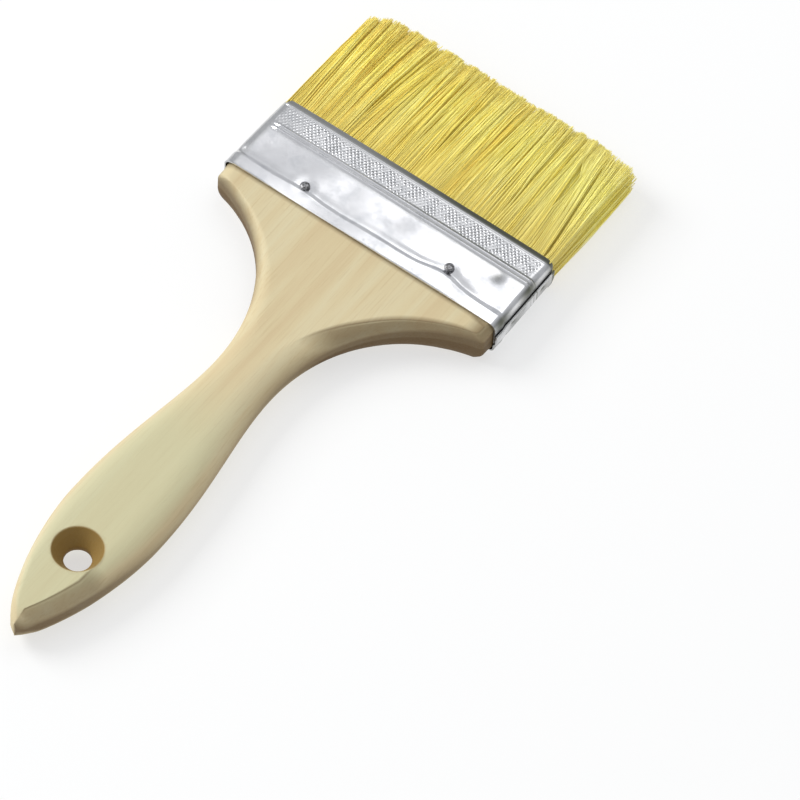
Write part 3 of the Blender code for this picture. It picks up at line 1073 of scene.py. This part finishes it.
    def relief(self, spots: Spots) -> Array:
        """How far the sheet stands out from its plain shape, in metres."""
        rise, x, broad = spots.rise, spots.x, spots.broad
        out = self._groove(spots) + self._dents(spots)
        beaded = smooth_step(x, *self.beads_from) * broad
        for offset in (-0.5, 0.5):
            bead = bump_at(rise, self.bead_at + offset * self.bead_pitch, self.bead_half)
            out += self.bead_height * bead * beaded
        out += self.rim_line_height * bump_at(rise, self.rim_line_at, 0.35 * MM) * broad
        run = x + spots.z * np.sign(spots.normal_x)
        turn = 2 * math.pi / self.weave_pitch
        weave = np.sin((run + rise) * turn) * np.sin((run - rise) * turn)
        out += self.weave_height * weave * window(rise, self.band_low, self.band_high, 0.5 * MM) * broad
        out -= self.rim_turned_in * smooth_step(rise, *self.rim_turns)
        lifted = 0.5 + 0.5 * np.sin(x / (11 * MM))
        out += 0.10 * MM * (1 - smooth_step(rise, 0.0, 0.5 * MM)) * lifted
        # Soft waves in the sheet, weaker above the beads, and the crown of both broad faces
        waves = (np.sin(x / (13.0 * MM) + rise / (8.0 * MM))
                 + np.sin(x / (5.6 * MM) - rise / (4.4 * MM) + 2.0)
                 + 0.6 * np.sin(x / (29.0 * MM) - 0.4))
        plain = 1 - smooth_step(rise, *self.waves_weaken)
        out += self.wave_height * waves * broad * (0.35 + 0.65 * plain)
        crowned = 0.25 + 0.75 * smooth_step(rise, *self.crown_from)
        return out - self.crown * (x / self.crown_reach) ** 2 * broad * crowned

    def _groove(self, spots: Spots) -> Array:
        """The wandering groove near the mouth, which the nails pull out of line."""
        rise, x, broad = spots.rise, spots.x, spots.broad
        wander = 0.2 * MM * np.sin(x / (11.0 * MM)) + 0.05 * MM * np.sin(x / (4.3 * MM) + 1.0)
        pull = np.zeros_like(rise)
        for across, height, facing in self.nails:
            near = spots.on(facing) * bump_at(x, across, 7.0 * MM)
            pull += near * (height - self.groove_at) * self.nail_pull
        groove_at = self.groove_at + (wander + pull) * broad
        swell = 1.0 + 0.25 * np.sin(x / (12.0 * MM)) * broad
        half = np.where(rise < groove_at, self.groove_half, 2.6 * self.groove_half)
        out = -self.groove_depth * swell * bump_at(rise, groove_at, half) * (0.3 + 0.7 * broad)
        return out + 0.10 * MM * bump_at(rise, groove_at - 1.5 * MM, 0.9 * MM)

    def _dents(self, spots: Spots) -> Array:
        """Dents round the nails, knocks in the front face and the seam's press marks."""
        rise, x, z = spots.rise, spots.x, spots.z
        out = np.zeros_like(rise)
        for across, height, facing in self.nails:
            far = np.hypot(x - across, rise - height)
            out += spots.on(facing) * (-self.nail_dent * bump_at(far, 0.0, self.nail_dent_reach)
                                       + 0.02 * MM * bump_at(far, 4.0 * MM, 1.4 * MM))
        for across, height, reach, depth in self.knocks:
            far = np.hypot(x - across, rise - height)
            out -= spots.on(Facing.FRONT) * depth * bump_at(far, 0.0, reach)
        for height in self.presses:
            spot = np.exp(-((rise - height) / (1.3 * MM)) ** 4 - (z / (0.75 * MM)) ** 4)
            out -= self.press_depth * spot * spots.lapped
        return out

    def build(self) -> Piece:
        """Model the strip.

        Returns:
            The finished piece, not yet dressed.
        """
        rises = self.rises()
        columns = self.columns()
        nothing_selected()
        bpy.ops.mesh.primitive_grid_add(x_subdivisions=len(columns) - 1, y_subdivisions=len(rises) - 1,
                                        size=1.0, location=(0.5, 0.5, 0.0))
        ferrule = named_new("ferrule_tin")

        def wrap(points: Array) -> Array:
            """Take the flat grid's vertices to the wrapped strip."""
            rise = rises[np.rint(points[:, 1] * (len(rises) - 1)).astype(int)]
            column = columns[np.rint(points[:, 0] * (len(columns) - 1)).astype(int)]
            x_share, x_offset, z_share, z_offset, normal_x, normal_z = column.T
            at, depth = np.array(self.depths).T * MM
            x = x_share * self.half_width(rise) + x_offset
            z = z_share * np.interp(rise, at, depth) + z_offset
            lapped = ((x_offset > self.sheet) & (normal_x > 0.99)).astype(float)
            out = self.relief(Spots(rise, x, z, normal_x, normal_z, lapped))
            return np.column_stack((x + normal_x * out, self.levels.mouth + rise,
                                    self.levels.middle + z + normal_z * out))

        move_vertices(ferrule, wrap)
        self._paint(ferrule)
        self._turn_outwards(ferrule)
        apply_modifier(ferrule, "SOLIDIFY", thickness=self.sheet, offset=-1.0)
        smooth_under(ferrule, self.crisp_degrees)
        return ferrule

    def _paint(self, ferrule: Piece) -> None:
        """Paint the sheet's painted shade and painted dark reflections, and where it is knurled."""
        points = vertices_of(ferrule)
        x, z = points[:, 0], points[:, 2]
        rise = points[:, 1] - self.levels.mouth
        past = x - self.half_width(rise)
        rightwards = smooth_step(x, *self.groove_shade_grows)

        # Painted dark reflection on the seam side, less so on the seam's outer layer
        seam_side = smooth_step(past, -1.9 * MM, -0.5 * MM)
        seam_side = seam_side * (1 - 0.4 * smooth_step(past, 0.45 * MM, 0.7 * MM))
        seam_side = seam_side * (0.6 + 0.4 * np.sin(rise / (2.3 * MM)) * np.sin(z / (1.9 * MM) + 1.0))
        # Painted shade above the beads, and at the lip under the hair, more so to the right
        lip = 0.2 * smooth_step(rise, *self.band_shade)
        lip = lip + (0.45 + 0.35 * rightwards) * smooth_step(rise, *self.lip_shade)
        # Painted shade that dulls the glints at the left corner, and a painted dark reflection in the first
        # knock
        left = 0.3 * (1 - smooth_step(x + self.half_width_high, 2.2 * MM, 4.2 * MM))
        across, height, reach, _ = self.knocks[0]
        knock_reflection = 0.7 * bump_at(x, across, 0.9 * reach) * bump_at(rise, height, 0.9 * reach)
        knock_reflection = knock_reflection * (z > self.levels.middle)
        # Painted shade in the grooves by the beads, in lines: height, strength, half width
        lines = ((self.bead_at, 0.8, 0.24 * MM), (self.band_low, 0.95, 0.32 * MM),
                 (self.bead_at - self.bead_pitch, 0.45, 0.24 * MM))
        groove_shade = sum(strength * bump_at(rise, at, half) for at, strength, half in lines)
        groove_shade = groove_shade * (0.35 + 0.65 * rightwards)
        paint(ferrule, "tin_shade", np.max((seam_side, lip, left, knock_reflection, groove_shade), axis=0))

        band = window(rise, self.band_low, self.band_high, 0.4 * MM)
        inside = 1 - smooth_step(np.abs(x), self.half_width_high - 3.2 * MM, self.half_width_high - 2.2 * MM)
        worn = 0.15 + 0.85 * smooth_step(x, *self.knurl_from)
        paint(ferrule, "knurled", band * inside * worn)

    def _turn_outwards(self, ferrule: Piece) -> None:
        """Flip the open strip if its faces look inwards."""
        faces = ferrule.data.polygons
        inwards = sum(face.normal.z * (face.center.z - self.levels.middle) < 0 for face in faces)
        if inwards > len(faces) / 2:
            with editing(ferrule):
                bpy.ops.mesh.flip_normals()

    def make(self, tin: Material) -> None:
        """Build the ferrule and put it in the place of its CAD node."""
        ferrule = self.build()
        dress(ferrule, tin)
        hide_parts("ferrule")
        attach(ferrule, Body.HANDLE.value)
        LOG.info("ferrule: %d faces", len(ferrule.data.polygons))


# ---- Nails ----

@dataclass
class Nails:
    """Four wire nails with low domed heads, driven through the ferrule."""

    levels: Levels
    head: float = 1.6 * MM
    head_height: float = 0.62 * MM
    shank: float = 0.6 * MM
    reach: float = 5.0 * MM
    point: float = 1.0 * MM
    point_radius: float = 0.08 * MM
    sunk: float = 0.36 * MM             # how far the heads sit below those of the CAD
    sides: int = 40
    lean_step: float = 2.5              # degrees between one nail's lean and the next
    crisp_degrees: float = 60.0
    names: tuple[str, ...] = ("nail_front_left", "nail_front_right", "nail_back_left", "nail_back_right")

    # Rings of the head: shares of its radius and of its height
    dome: tuple[tuple[float, float], ...] = (
        (0.97, 0.0), (1.0, 0.12), (0.97, 0.3), (0.86, 0.62), (0.64, 0.86), (0.36, 0.98), (0.1, 1.0),
    )

    def pattern(self) -> Piece:
        """Model one nail, point down, with the underside of its head at the origin.

        Returns:
            The pattern nail.
        """
        under = self.point + self.reach
        rings = [(self.shank, self.point), (self.shank, under)]
        rings += [(self.head * wide, under + high * self.head_height) for wide, high in self.dome]
        nothing_selected()
        bpy.ops.mesh.primitive_circle_add(vertices=self.sides, radius=self.point_radius, fill_type="NGON",
                                          location=(0.0, 0.0, -under))
        nail = named_new("nail_pattern")
        radius, height = self.point_radius, 0.0
        with editing(nail, "FACE"):
            for next_radius, next_height in rings:
                bpy.ops.mesh.extrude_region_move(
                    TRANSFORM_OT_translate={"value": (0.0, 0.0, next_height - height)})
                scale = next_radius / radius
                bpy.ops.transform.resize(value=(scale, scale, 1.0),
                                         center_override=(0.0, 0.0, next_height - under))
                radius, height = next_radius, next_height
        face_outwards(nail)
        smooth_under(nail, self.crisp_degrees)
        return nail

    def make(self, steel: Material) -> None:
        """Copy the pattern to each nail's place and replace the CAD nails."""
        pattern = self.pattern()
        for number, name in enumerate(self.names):
            low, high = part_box(name)
            facing = 1 if "front" in name else -1
            face = high.z - self.head_height if facing > 0 else low.z + self.head_height
            seat = Vector(((low.x + high.x) / 2, (low.y + high.y) / 2, face - facing * self.sunk))
            nail = pattern.copy()
            nail.data = pattern.data.copy()
            nail.name = name.replace("nail", "nail_steel")
            nail.data.name = nail.name
            bpy.context.scene.collection.objects.link(nail)
            lean = Matrix.Rotation(math.radians(self.lean_step * (number - 1.5)), 4, "Y")
            turn = Matrix.Rotation(0.0 if facing > 0 else math.pi, 4, "X")
            nail.data.transform(Matrix.Translation(seat) @ turn @ lean)
            dress(nail, steel)
            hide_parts(name)
            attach(nail, Body.HANDLE.value)
            LOG.info("%s at %.1f, %.1f mm", nail.name, seat.x / MM, seat.y / MM)
        bpy.data.objects.remove(pattern, do_unlink=True)


# ---- Bristle ----

@dataclass
class Bristle:
    """Two banks of natural hair, set in resin each side of the spacer, in strips across the brush."""

    levels: Levels
    strips: int = 4
    hairs_in_strip: int = 2500
    half_width: float = 49.5 * MM
    spacer_half: float = 1.9 * MM
    root_half: float = 5.25 * MM
    swell: float = 0.95 * MM
    tips_in: float = 0.35 * MM
    radius: float = 0.19 * MM
    tip_taper: float = 0.4
    cuts: int = 7
    clump_hold: float = 0.32            # share by which a clump's hairs draw together at their tips
    lock_hold: float = 0.16
    bank_run: float = 5.5 * MM          # a bank's depth, for distances between clumps
    left_round: float = 10.0 * MM
    left_short: float = 5.5 * MM
    right_round: float = 5.0 * MM
    right_short: float = 1.5 * MM
    outer_short: float = 1.3 * MM
    tips_past: float = 2.6 * MM
    most_short: float = 26 * MM
    broken_share: float = 0.08
    broken_by: float = 9 * MM
    stray_share: float = 0.07
    wave: float = 0.16 * MM
    stray_across: float = 0.35 * MM
    stray_out: float = 0.16 * MM
    stray_factor: float = 3.2
    bend_run: float = 22 * MM
    seed: int = 20

    # Spacing of the clump centres, and how far they lean and how much shorter they are
    clumps: tuple[float, float, float] = (1.3 * MM, 0.6 * MM, 0.45 * MM)
    locks: tuple[float, float, float] = (6.0 * MM, 0.55 * MM, 0.3 * MM)
    # Heights over the rim between which a bank spreads over the spacer's gap
    spreads: Span = (-3 * MM, 14 * MM)
    # Gaps where the hair has parted: across at the rim, lean at the tips, start and end heights
    # above the rim, half width of the gap
    partings: tuple[tuple[float, float, float, float, float], ...] = (
        (46.6 * MM, -5.5 * MM, -1.0 * MM, 42.0 * MM, 0.5 * MM),
        (39.6 * MM, -2.5 * MM, 18.0 * MM, 38.0 * MM, 0.34 * MM),
        (-23.6 * MM, 2.6 * MM, 20.0 * MM, 42.0 * MM, 0.42 * MM),
        (-28.5 * MM, 2.0 * MM, 14.0 * MM, 30.0 * MM, 0.3 * MM),
        (-9.0 * MM, 0.6 * MM, 9.0 * MM, 27.0 * MM, 0.26 * MM),
        (4.0 * MM, 1.4 * MM, 12.0 * MM, 30.0 * MM, 0.3 * MM),
        (18.0 * MM, 0.5 * MM, 14.0 * MM, 36.0 * MM, 0.3 * MM),
        (27.0 * MM, -1.0 * MM, 5.0 * MM, 24.0 * MM, 0.26 * MM),
    )

    def strand(self) -> tuple[Array, Array]:
        """Model one hair of unit length and radius, standing on the origin.

        Returns:
            Its vertices, and its four-cornered faces as rows of vertex numbers.
        """
        nothing_selected()
        bpy.ops.mesh.primitive_cone_add(vertices=3, radius1=1.0, radius2=1.0, depth=1.0,
                                        end_fill_type="NOTHING", location=(0.0, 0.0, 0.5))
        hair = named_new("hair_pattern")
        cut_along(hair, 2, self.cuts)
        points = vertices_of(hair)
        faces = np.array([list(face.vertices) for face in hair.data.polygons])
        bpy.data.objects.remove(hair, do_unlink=True)
        return points, faces

    def centres(self, rng: np.random.Generator, spacing: float, lean: float, short: float) -> Array:
        """Scatter clump centres over a bank.

        Args:
            rng: The random source.
            spacing: Distance between centres across the brush.
            lean: How far clumps lean across at their tips.
            short: How much shorter a clump may be.

        Returns:
            Rows of across, depth share, lean across, lean out, short, tone.
        """
        layers = max(2, round(self.bank_run / spacing))
        across = np.arange(-self.half_width, self.half_width, spacing)
        count = len(across)
        rows = []
        for layer in range(layers):
            jitter = across + rng.normal(0.0, 0.35 * spacing, count)
            depth = (layer + 0.5) / layers + rng.normal(0.0, 0.2 / layers, count)
            rows.append(np.column_stack((
                jitter, depth, rng.normal(0.0, lean, count), rng.normal(0.0, 0.3 * lean, count),
                rng.gamma(1.2, short / 1.2, count), rng.random(count))))
        return np.vstack(rows)

    def _nearest(self, centres: Array, across: Array, depth: Array) -> Array:
        """The row of the nearest clump centre to each hair."""
        far = (across - centres[None, :, 0]) ** 2
        far = far + ((depth - centres[None, :, 1]) * self.bank_run) ** 2
        return centres[np.argmin(far, axis=1)]

    def _tips(self, rng: np.random.Generator, across: Array, depth: Array,
              clump: Array, lock: Array) -> Array:
        """Height of each hair's tip: lower at the rounded ends, and uneven everywhere.

        Args:
            rng: The random source.
            across: Each hair's place across the brush.
            depth: Each hair's share of the bank's depth.
            clump: Each hair's clump.
            lock: Each hair's lock.

        Returns:
            One height a hair.
        """
        count = len(across)
        from_left = np.clip(1 - (across + self.half_width) / self.left_round, 0.0, 1.0)
        from_right = np.clip(1 - (self.half_width - across) / self.right_round, 0.0, 1.0)
        short = self.left_short * from_left ** 2 + self.right_short * from_right ** 2
        short = short + self.outer_short * depth ** 4
        short = short + np.abs(clump[:, 4]) + np.abs(lock[:, 4])
        short = short + rng.gamma(1.3, 0.6 * MM, count) - self.tips_past
        broken = rng.random(count) < self.broken_share
        short = np.where(broken, short + rng.random(count) * self.broken_by, short)
        return self.levels.tips - np.minimum(short, self.most_short)

    def _heights(self, tip: Array) -> Array:
        """Heights of each hair's stations.

        Args:
            tip: Height of each hair's tip.

        Returns:
            One row for each hair.
        """
        rim = self.levels.rim
        fixed = np.array([self.levels.resin_top + 0.1 * MM, rim - 1.5 * MM, rim + 2.5 * MM])
        shares = np.linspace(0.0, 1.0, self.cuts)[1:] ** 1.05
        free = fixed[-1] + (tip[:, None] - fixed[-1]) * shares[None, :]
        return np.hstack((np.tile(fixed, (len(tip), 1)), free))

    def _bank_depth(self, share: Array) -> Array:
        """Half depth of the whole bristle at shares of its free length."""
        swells = (0.0, 0.7 * self.swell, self.swell, 0.7 * self.swell, -self.tips_in)
        return self.root_half + np.interp(share, (0.0, 0.2, 0.5, 0.8, 1.0), swells)

    def _part(self, x: Array, across: Array, share: Array, above: Array,
              outer: Array, facing: Facing) -> Array:
        """Open the partings.

        Args:
            x: Places across the brush, with a row for each hair and a column for each station.
            across: Column of the hairs' places at their roots.
            share: The stations' shares of the free length.
            above: The stations' heights above the rim.
            outer: Column that is 1 for hairs near the bank's outside.
            facing: Which bank.

        Returns:
            The new places across.
        """
        for root_x, lean, low, high, gap in self.partings:
            root_x, lean = root_x * facing.value, lean * facing.value
            beside = across - root_x
            side = np.where(beside > 0, 1.0, -1.0)
            edge = np.clip((self.half_width - np.abs(across)) / (3.0 * MM), 0.0, 1.0)
            run = lean * share ** 1.2
            x = x + run * bump_at(beside, 0.0, 6.0 * MM) * edge
            line = root_x + run
            opened = smooth_step(above, low - 2 * MM, low + 4 * MM)
            opened = opened * (1 - smooth_step(above, high - 8 * MM, high))
            opening = gap * opened * outer
            x = x + side * opening * np.exp(-np.abs(x - line) / (1.3 * MM))
            near = (np.abs(beside) < 4 * MM) & (opening > 0.05 * MM)
            x = np.where((side * (x - line) < opening) & near, line + side * opening, x)
        return x

    def lay(self, facing: Facing, strip: int, rng: np.random.Generator, clumps: Array,
            locks: Array) -> tuple[Array, Array]:
        """Lay the hairs of one strip.

        Args:
            facing: Which bank.
            strip: Which strip, counted from the left.
            rng: The random source.
            clumps: Fine clumps: rows of across, depth share, lean across, lean out, short, tone.
            locks: Broad locks, in rows of the same form.

        Returns:
            Hair points as (hair, station, xyz), and each hair's tone.
        """
        count = self.hairs_in_strip
        width = 2 * self.half_width / self.strips
        left = -self.half_width + strip * width
        across = (left + (np.arange(count) + rng.random(count)) / count * width)[:, None]
        depth = (rng.random(count) ** 0.85)[:, None]
        clump = self._nearest(clumps, across, depth)
        lock = self._nearest(locks, across, depth)
        height = self._heights(self._tips(rng, across[:, 0], depth[:, 0], clump, lock))
        above = height - self.levels.rim
        share = np.clip(above / (self.levels.tips - self.levels.rim), 0.0, 1.0)

        # Above the ferrule each bank spreads over the spacer's gap, which ends before the narrow sides
        closed = smooth_step(np.abs(across), self.half_width - 2.0 * MM, self.half_width - 1.2 * MM)
        spacer = self.spacer_half * (1 - closed)
        root_z = spacer + depth * (self.root_half - spacer)
        bank = self._bank_depth(share)
        spread = smooth_step(above, *self.spreads)
        z = root_z * (1 - spread) + (0.15 * MM + depth * (bank - 0.15 * MM)) * spread

        # Clumps and locks lean and draw together
        leaning = share ** 1.4
        hold = self.clump_hold * smooth_step(share, 0.02, 0.75)
        x = across + (lock[:, 2:3] + clump[:, 2:3]) * leaning
        x = x + (clump[:, 0:1] - across) * hold
        x = x + (lock[:, 0:1] - across) * (self.lock_hold * smooth_step(share, 0.0, 1.0))
        z = z + (lock[:, 3:4] + clump[:, 3:4]) * leaning
        z = z + (clump[:, 1:2] - depth) * (self.root_half * 0.9) * hold

        # Each hair waves a little, and a few stray
        phase = rng.random((count, 2)) * 2 * math.pi
        wave = 6.0 + 5.0 * rng.random((count, 1))
        size = self.wave * (0.4 + share)
        x = x + size * np.sin(wave * share + phase[:, :1])
        z = z + 0.7 * size * np.sin(wave * share * 0.8 + phase[:, 1:])
        stray = np.where(rng.random((count, 1)) < self.stray_share, self.stray_factor, 1.0)
        x = x + rng.normal(0.0, self.stray_across, (count, 1)) * stray * share ** 2.2
        z = z + rng.normal(0.0, self.stray_out, (count, 1)) * stray * share ** 2.2

        x = self._part(x, across, share, above, smooth_step(depth, 0.3, 0.6), facing)
        limit = self.half_width + 0.25 * MM
        x = np.clip(x, -limit, limit)
        z = np.clip(z, 0.02 * MM, bank + 0.25 * MM)
        tone = 0.5 * rng.random(count) + 0.3 * clump[:, 5] + 0.2 * lock[:, 5]
        # Painted light: hairs grow paler towards the right, to even out the light from the left
        tone = np.clip(tone + 0.2 * across[:, 0] / self.half_width, 0.0, 1.0)
        return np.stack((x, height, self.levels.middle + facing.value * z), axis=2), tone

    def comb(self, name: str, points: Array, tone: Array, rng: np.random.Generator,
             pattern: tuple[Array, Array]) -> Piece:
        """Put a copy of the pattern hair along each laid hair, all in one mesh.

        Args:
            name: The piece's name.
            points: Hair points as (hair, station, xyz).
            tone: Each hair's tone.
            rng: The random source.
            pattern: The pattern hair's vertices and faces.

        Returns:
            The new piece.
        """
        vertices, faces = pattern
        count, stations = points.shape[:2]
        station = np.rint(vertices[:, 2] * (stations - 1)).astype(int)
        along = station / (stations - 1)
        turn = (rng.random(count) * 2 * math.pi)[:, None]
        girth = (self.radius * (0.75 + 0.5 * rng.random(count)))[:, None]
        taper = 1.0 - (1.0 - self.tip_taper) * along ** 1.8
        placed = points[:, station, :].copy()
        placed[:, :, 0] += (np.cos(turn) * vertices[:, 0] - np.sin(turn) * vertices[:, 1]) * girth * taper
        placed[:, :, 2] += (np.sin(turn) * vertices[:, 0] + np.cos(turn) * vertices[:, 1]) * girth * taper
        all_faces = (faces[None, :, :] + (np.arange(count) * len(vertices))[:, None, None]).reshape(-1, 4)
        mesh = bpy.data.meshes.new(name)
        mesh.vertices.add(placed.size // 3)
        mesh.vertices.foreach_set("co", placed.ravel())
        mesh.loops.add(all_faces.size)
        mesh.loops.foreach_set("vertex_index", all_faces.ravel().astype(np.int32))
        mesh.polygons.add(len(all_faces))
        mesh.polygons.foreach_set("loop_start", np.arange(0, all_faces.size, 4, dtype=np.int32))
        mesh.update(calc_edges=True)
        piece = bpy.data.objects.new(name, mesh)
        bpy.context.scene.collection.objects.link(piece)
        paint(piece, "tone", np.repeat(tone, len(vertices)))
        paint(piece, "along", np.tile(along, count))
        mesh.shade_smooth()
        return piece

    def make(self, hair: Material) -> None:
        """Build both banks, strip by strip, in the place of the CAD banks."""
        rng = np.random.default_rng(self.seed)
        pattern = self.strand()
        for facing in Facing:
            side = facing.name.lower()
            clumps = self.centres(rng, *self.clumps)
            locks = self.centres(rng, *self.locks)
            for strip in range(self.strips):
                points, tone = self.lay(facing, strip, rng, clumps, locks)
                piece = self.comb(f"bristle_{side}_{strip + 1}", points, tone, rng, pattern)
                dress(piece, hair)
                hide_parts(f"bristle_root_{side}", f"bristle_tuft_{side}")
                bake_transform(piece)
                LOG.info("%s: %d hairs", piece.name, len(points))


# ---- Hidden filling ----

@dataclass
class Filling:
    """Resin block and spacer strip inside the ferrule, whose CAD shapes stay."""

    def make(self, resin: Material, wood: Material) -> None:
        """Dress the two CAD nodes."""
        for node, material in (("resin_setting", resin), ("spacer_strip", wood)):
            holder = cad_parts[node]
            if not holder.data.materials:
                holder.data.materials.append(material)
            for place in holder.material_slots:
                place.material = material
            LOG.info("%s dressed", node)


# ---- Studio ----

@dataclass(frozen=True)
class Softbox:
    """One area light: where it stands from the brush, its side and its brightness."""

    name: str
    direction: tuple[float, float, float]
    distance: float
    side: float
    radiance: float


@dataclass
class Studio:
    """Plain pale floor, soft lights and the camera."""

    levels: Levels
    azimuth: float = 33.21
    elevation: float = 55.83
    roll: float = 3.80
    distance: float = 2.5
    lens: float = 374.4
    sensor: float = 36.0
    farthest: float = 50.0
    across: float = 40.68 * MM
    upwards: float = -12.79 * MM
    aim: tuple[float, float, float] = (0.0, 0.0, 8.0 * MM)
    floor_side: float = 14.0
    floor_fleck: float = 1 / 60
    floor_colour: str = "#A2A2A1"
    glow_colour: str = "#FCFCFC"
    floor_glow: float = 0.62
    sky_colour: str = "#F4F6FA"
    sky: float = 0.6
    softboxes: tuple[Softbox, ...] = (
        Softbox("overhead_softbox", (-0.035, 0.42, 0.905), 2.6, 1.55, 1.2),
        Softbox("left_softbox", (-0.78, -0.14, 0.66), 2.6, 1.4, 7.8),
    )

    def camera(self) -> None:
        """Set the camera up above the brush's right-hand side."""
        a, e, r = (math.radians(v) for v in (self.azimuth, self.elevation, self.roll))
        back = Vector((math.sin(a) * math.cos(e), -math.cos(a) * math.cos(e), math.sin(e)))
        level = Vector((0.0, 0.0, 1.0)).cross(back).normalized()
        upright = back.cross(level)
        right = math.cos(r) * level + math.sin(r) * upright
        up = -math.sin(r) * level + math.cos(r) * upright
        nothing_selected()
        bpy.ops.object.camera_add()
        camera = bpy.context.active_object
        camera.name = "brush_camera"
        camera.location = Vector(self.aim) + self.distance * back + self.across * right + self.upwards * up
        camera.rotation_euler = Matrix((right, up, back)).transposed().to_euler()
        camera.data.lens = self.lens
        camera.data.sensor_width = self.sensor
        camera.data.clip_end = self.farthest
        bpy.context.scene.camera = camera

    def floor(self) -> None:
        """Lay the pale floor under the brush."""
        nothing_selected()
        bpy.ops.mesh.primitive_plane_add(size=self.floor_side, location=(0.0, 0.0, 0.0))
        floor = named_new("studio_floor")
        material, shader, place = new_material("Matt white paper backdrop")
        dull = remap(noise(place, self.floor_fleck), 0.0, 1.0, 0.85, 0.95)
        feed(shader, {"Base Color": linear(self.floor_colour), "Specular IOR Level": 0.2,
                      "Emission Color": linear(self.glow_colour), "Emission Strength": self.floor_glow},
             {"Roughness": dull})
        floor.data.materials.append(material)

    def lights(self) -> None:
        """Hang the softboxes and set the room's even light."""
        centre = Vector((0.0, 0.0, self.levels.middle))
        for box in self.softboxes:
            towards = Vector(box.direction).normalized()
            nothing_selected()
            bpy.ops.object.light_add(type="AREA", location=centre + box.distance * towards)
            light = bpy.context.active_object
            light.name = box.name
            light.rotation_euler = towards.to_track_quat("Z", "Y").to_euler()
            light.data.shape = "SQUARE"
            light.data.size = box.side
            light.data.energy = box.radiance * math.pi * box.side ** 2
            light.visible_camera = False
        world = bpy.data.worlds.new("studio_room")
        world.use_nodes = True
        bpy.context.scene.world = world
        feed(world.node_tree.nodes["Background"], {"Color": linear(self.sky_colour), "Strength": self.sky})

    def make(self) -> None:
        """Set up the whole studio."""
        self.camera()
        self.floor()
        self.lights()
        bpy.context.scene.view_settings.view_transform = "Standard"
        LOG.info("studio: %d softboxes", len(self.softboxes))


def main() -> None:
    """Build the brush round its frame, piece by piece."""
    logging.basicConfig(level=logging.INFO, format="%(name)s: %(message)s")
    levels = Levels.of_frame()
    wood = RawPoplar().material()
    Studio(levels).make()
    Handle(levels).make(wood)
    Ferrule(levels).make(TinPlate().material())
    Nails(levels).make(BrightNailSteel().material())
    Filling().make(SettingResin().material(), wood)
    Bristle(levels).make(HogBristle().material())


if __name__ == "__main__":
    main()
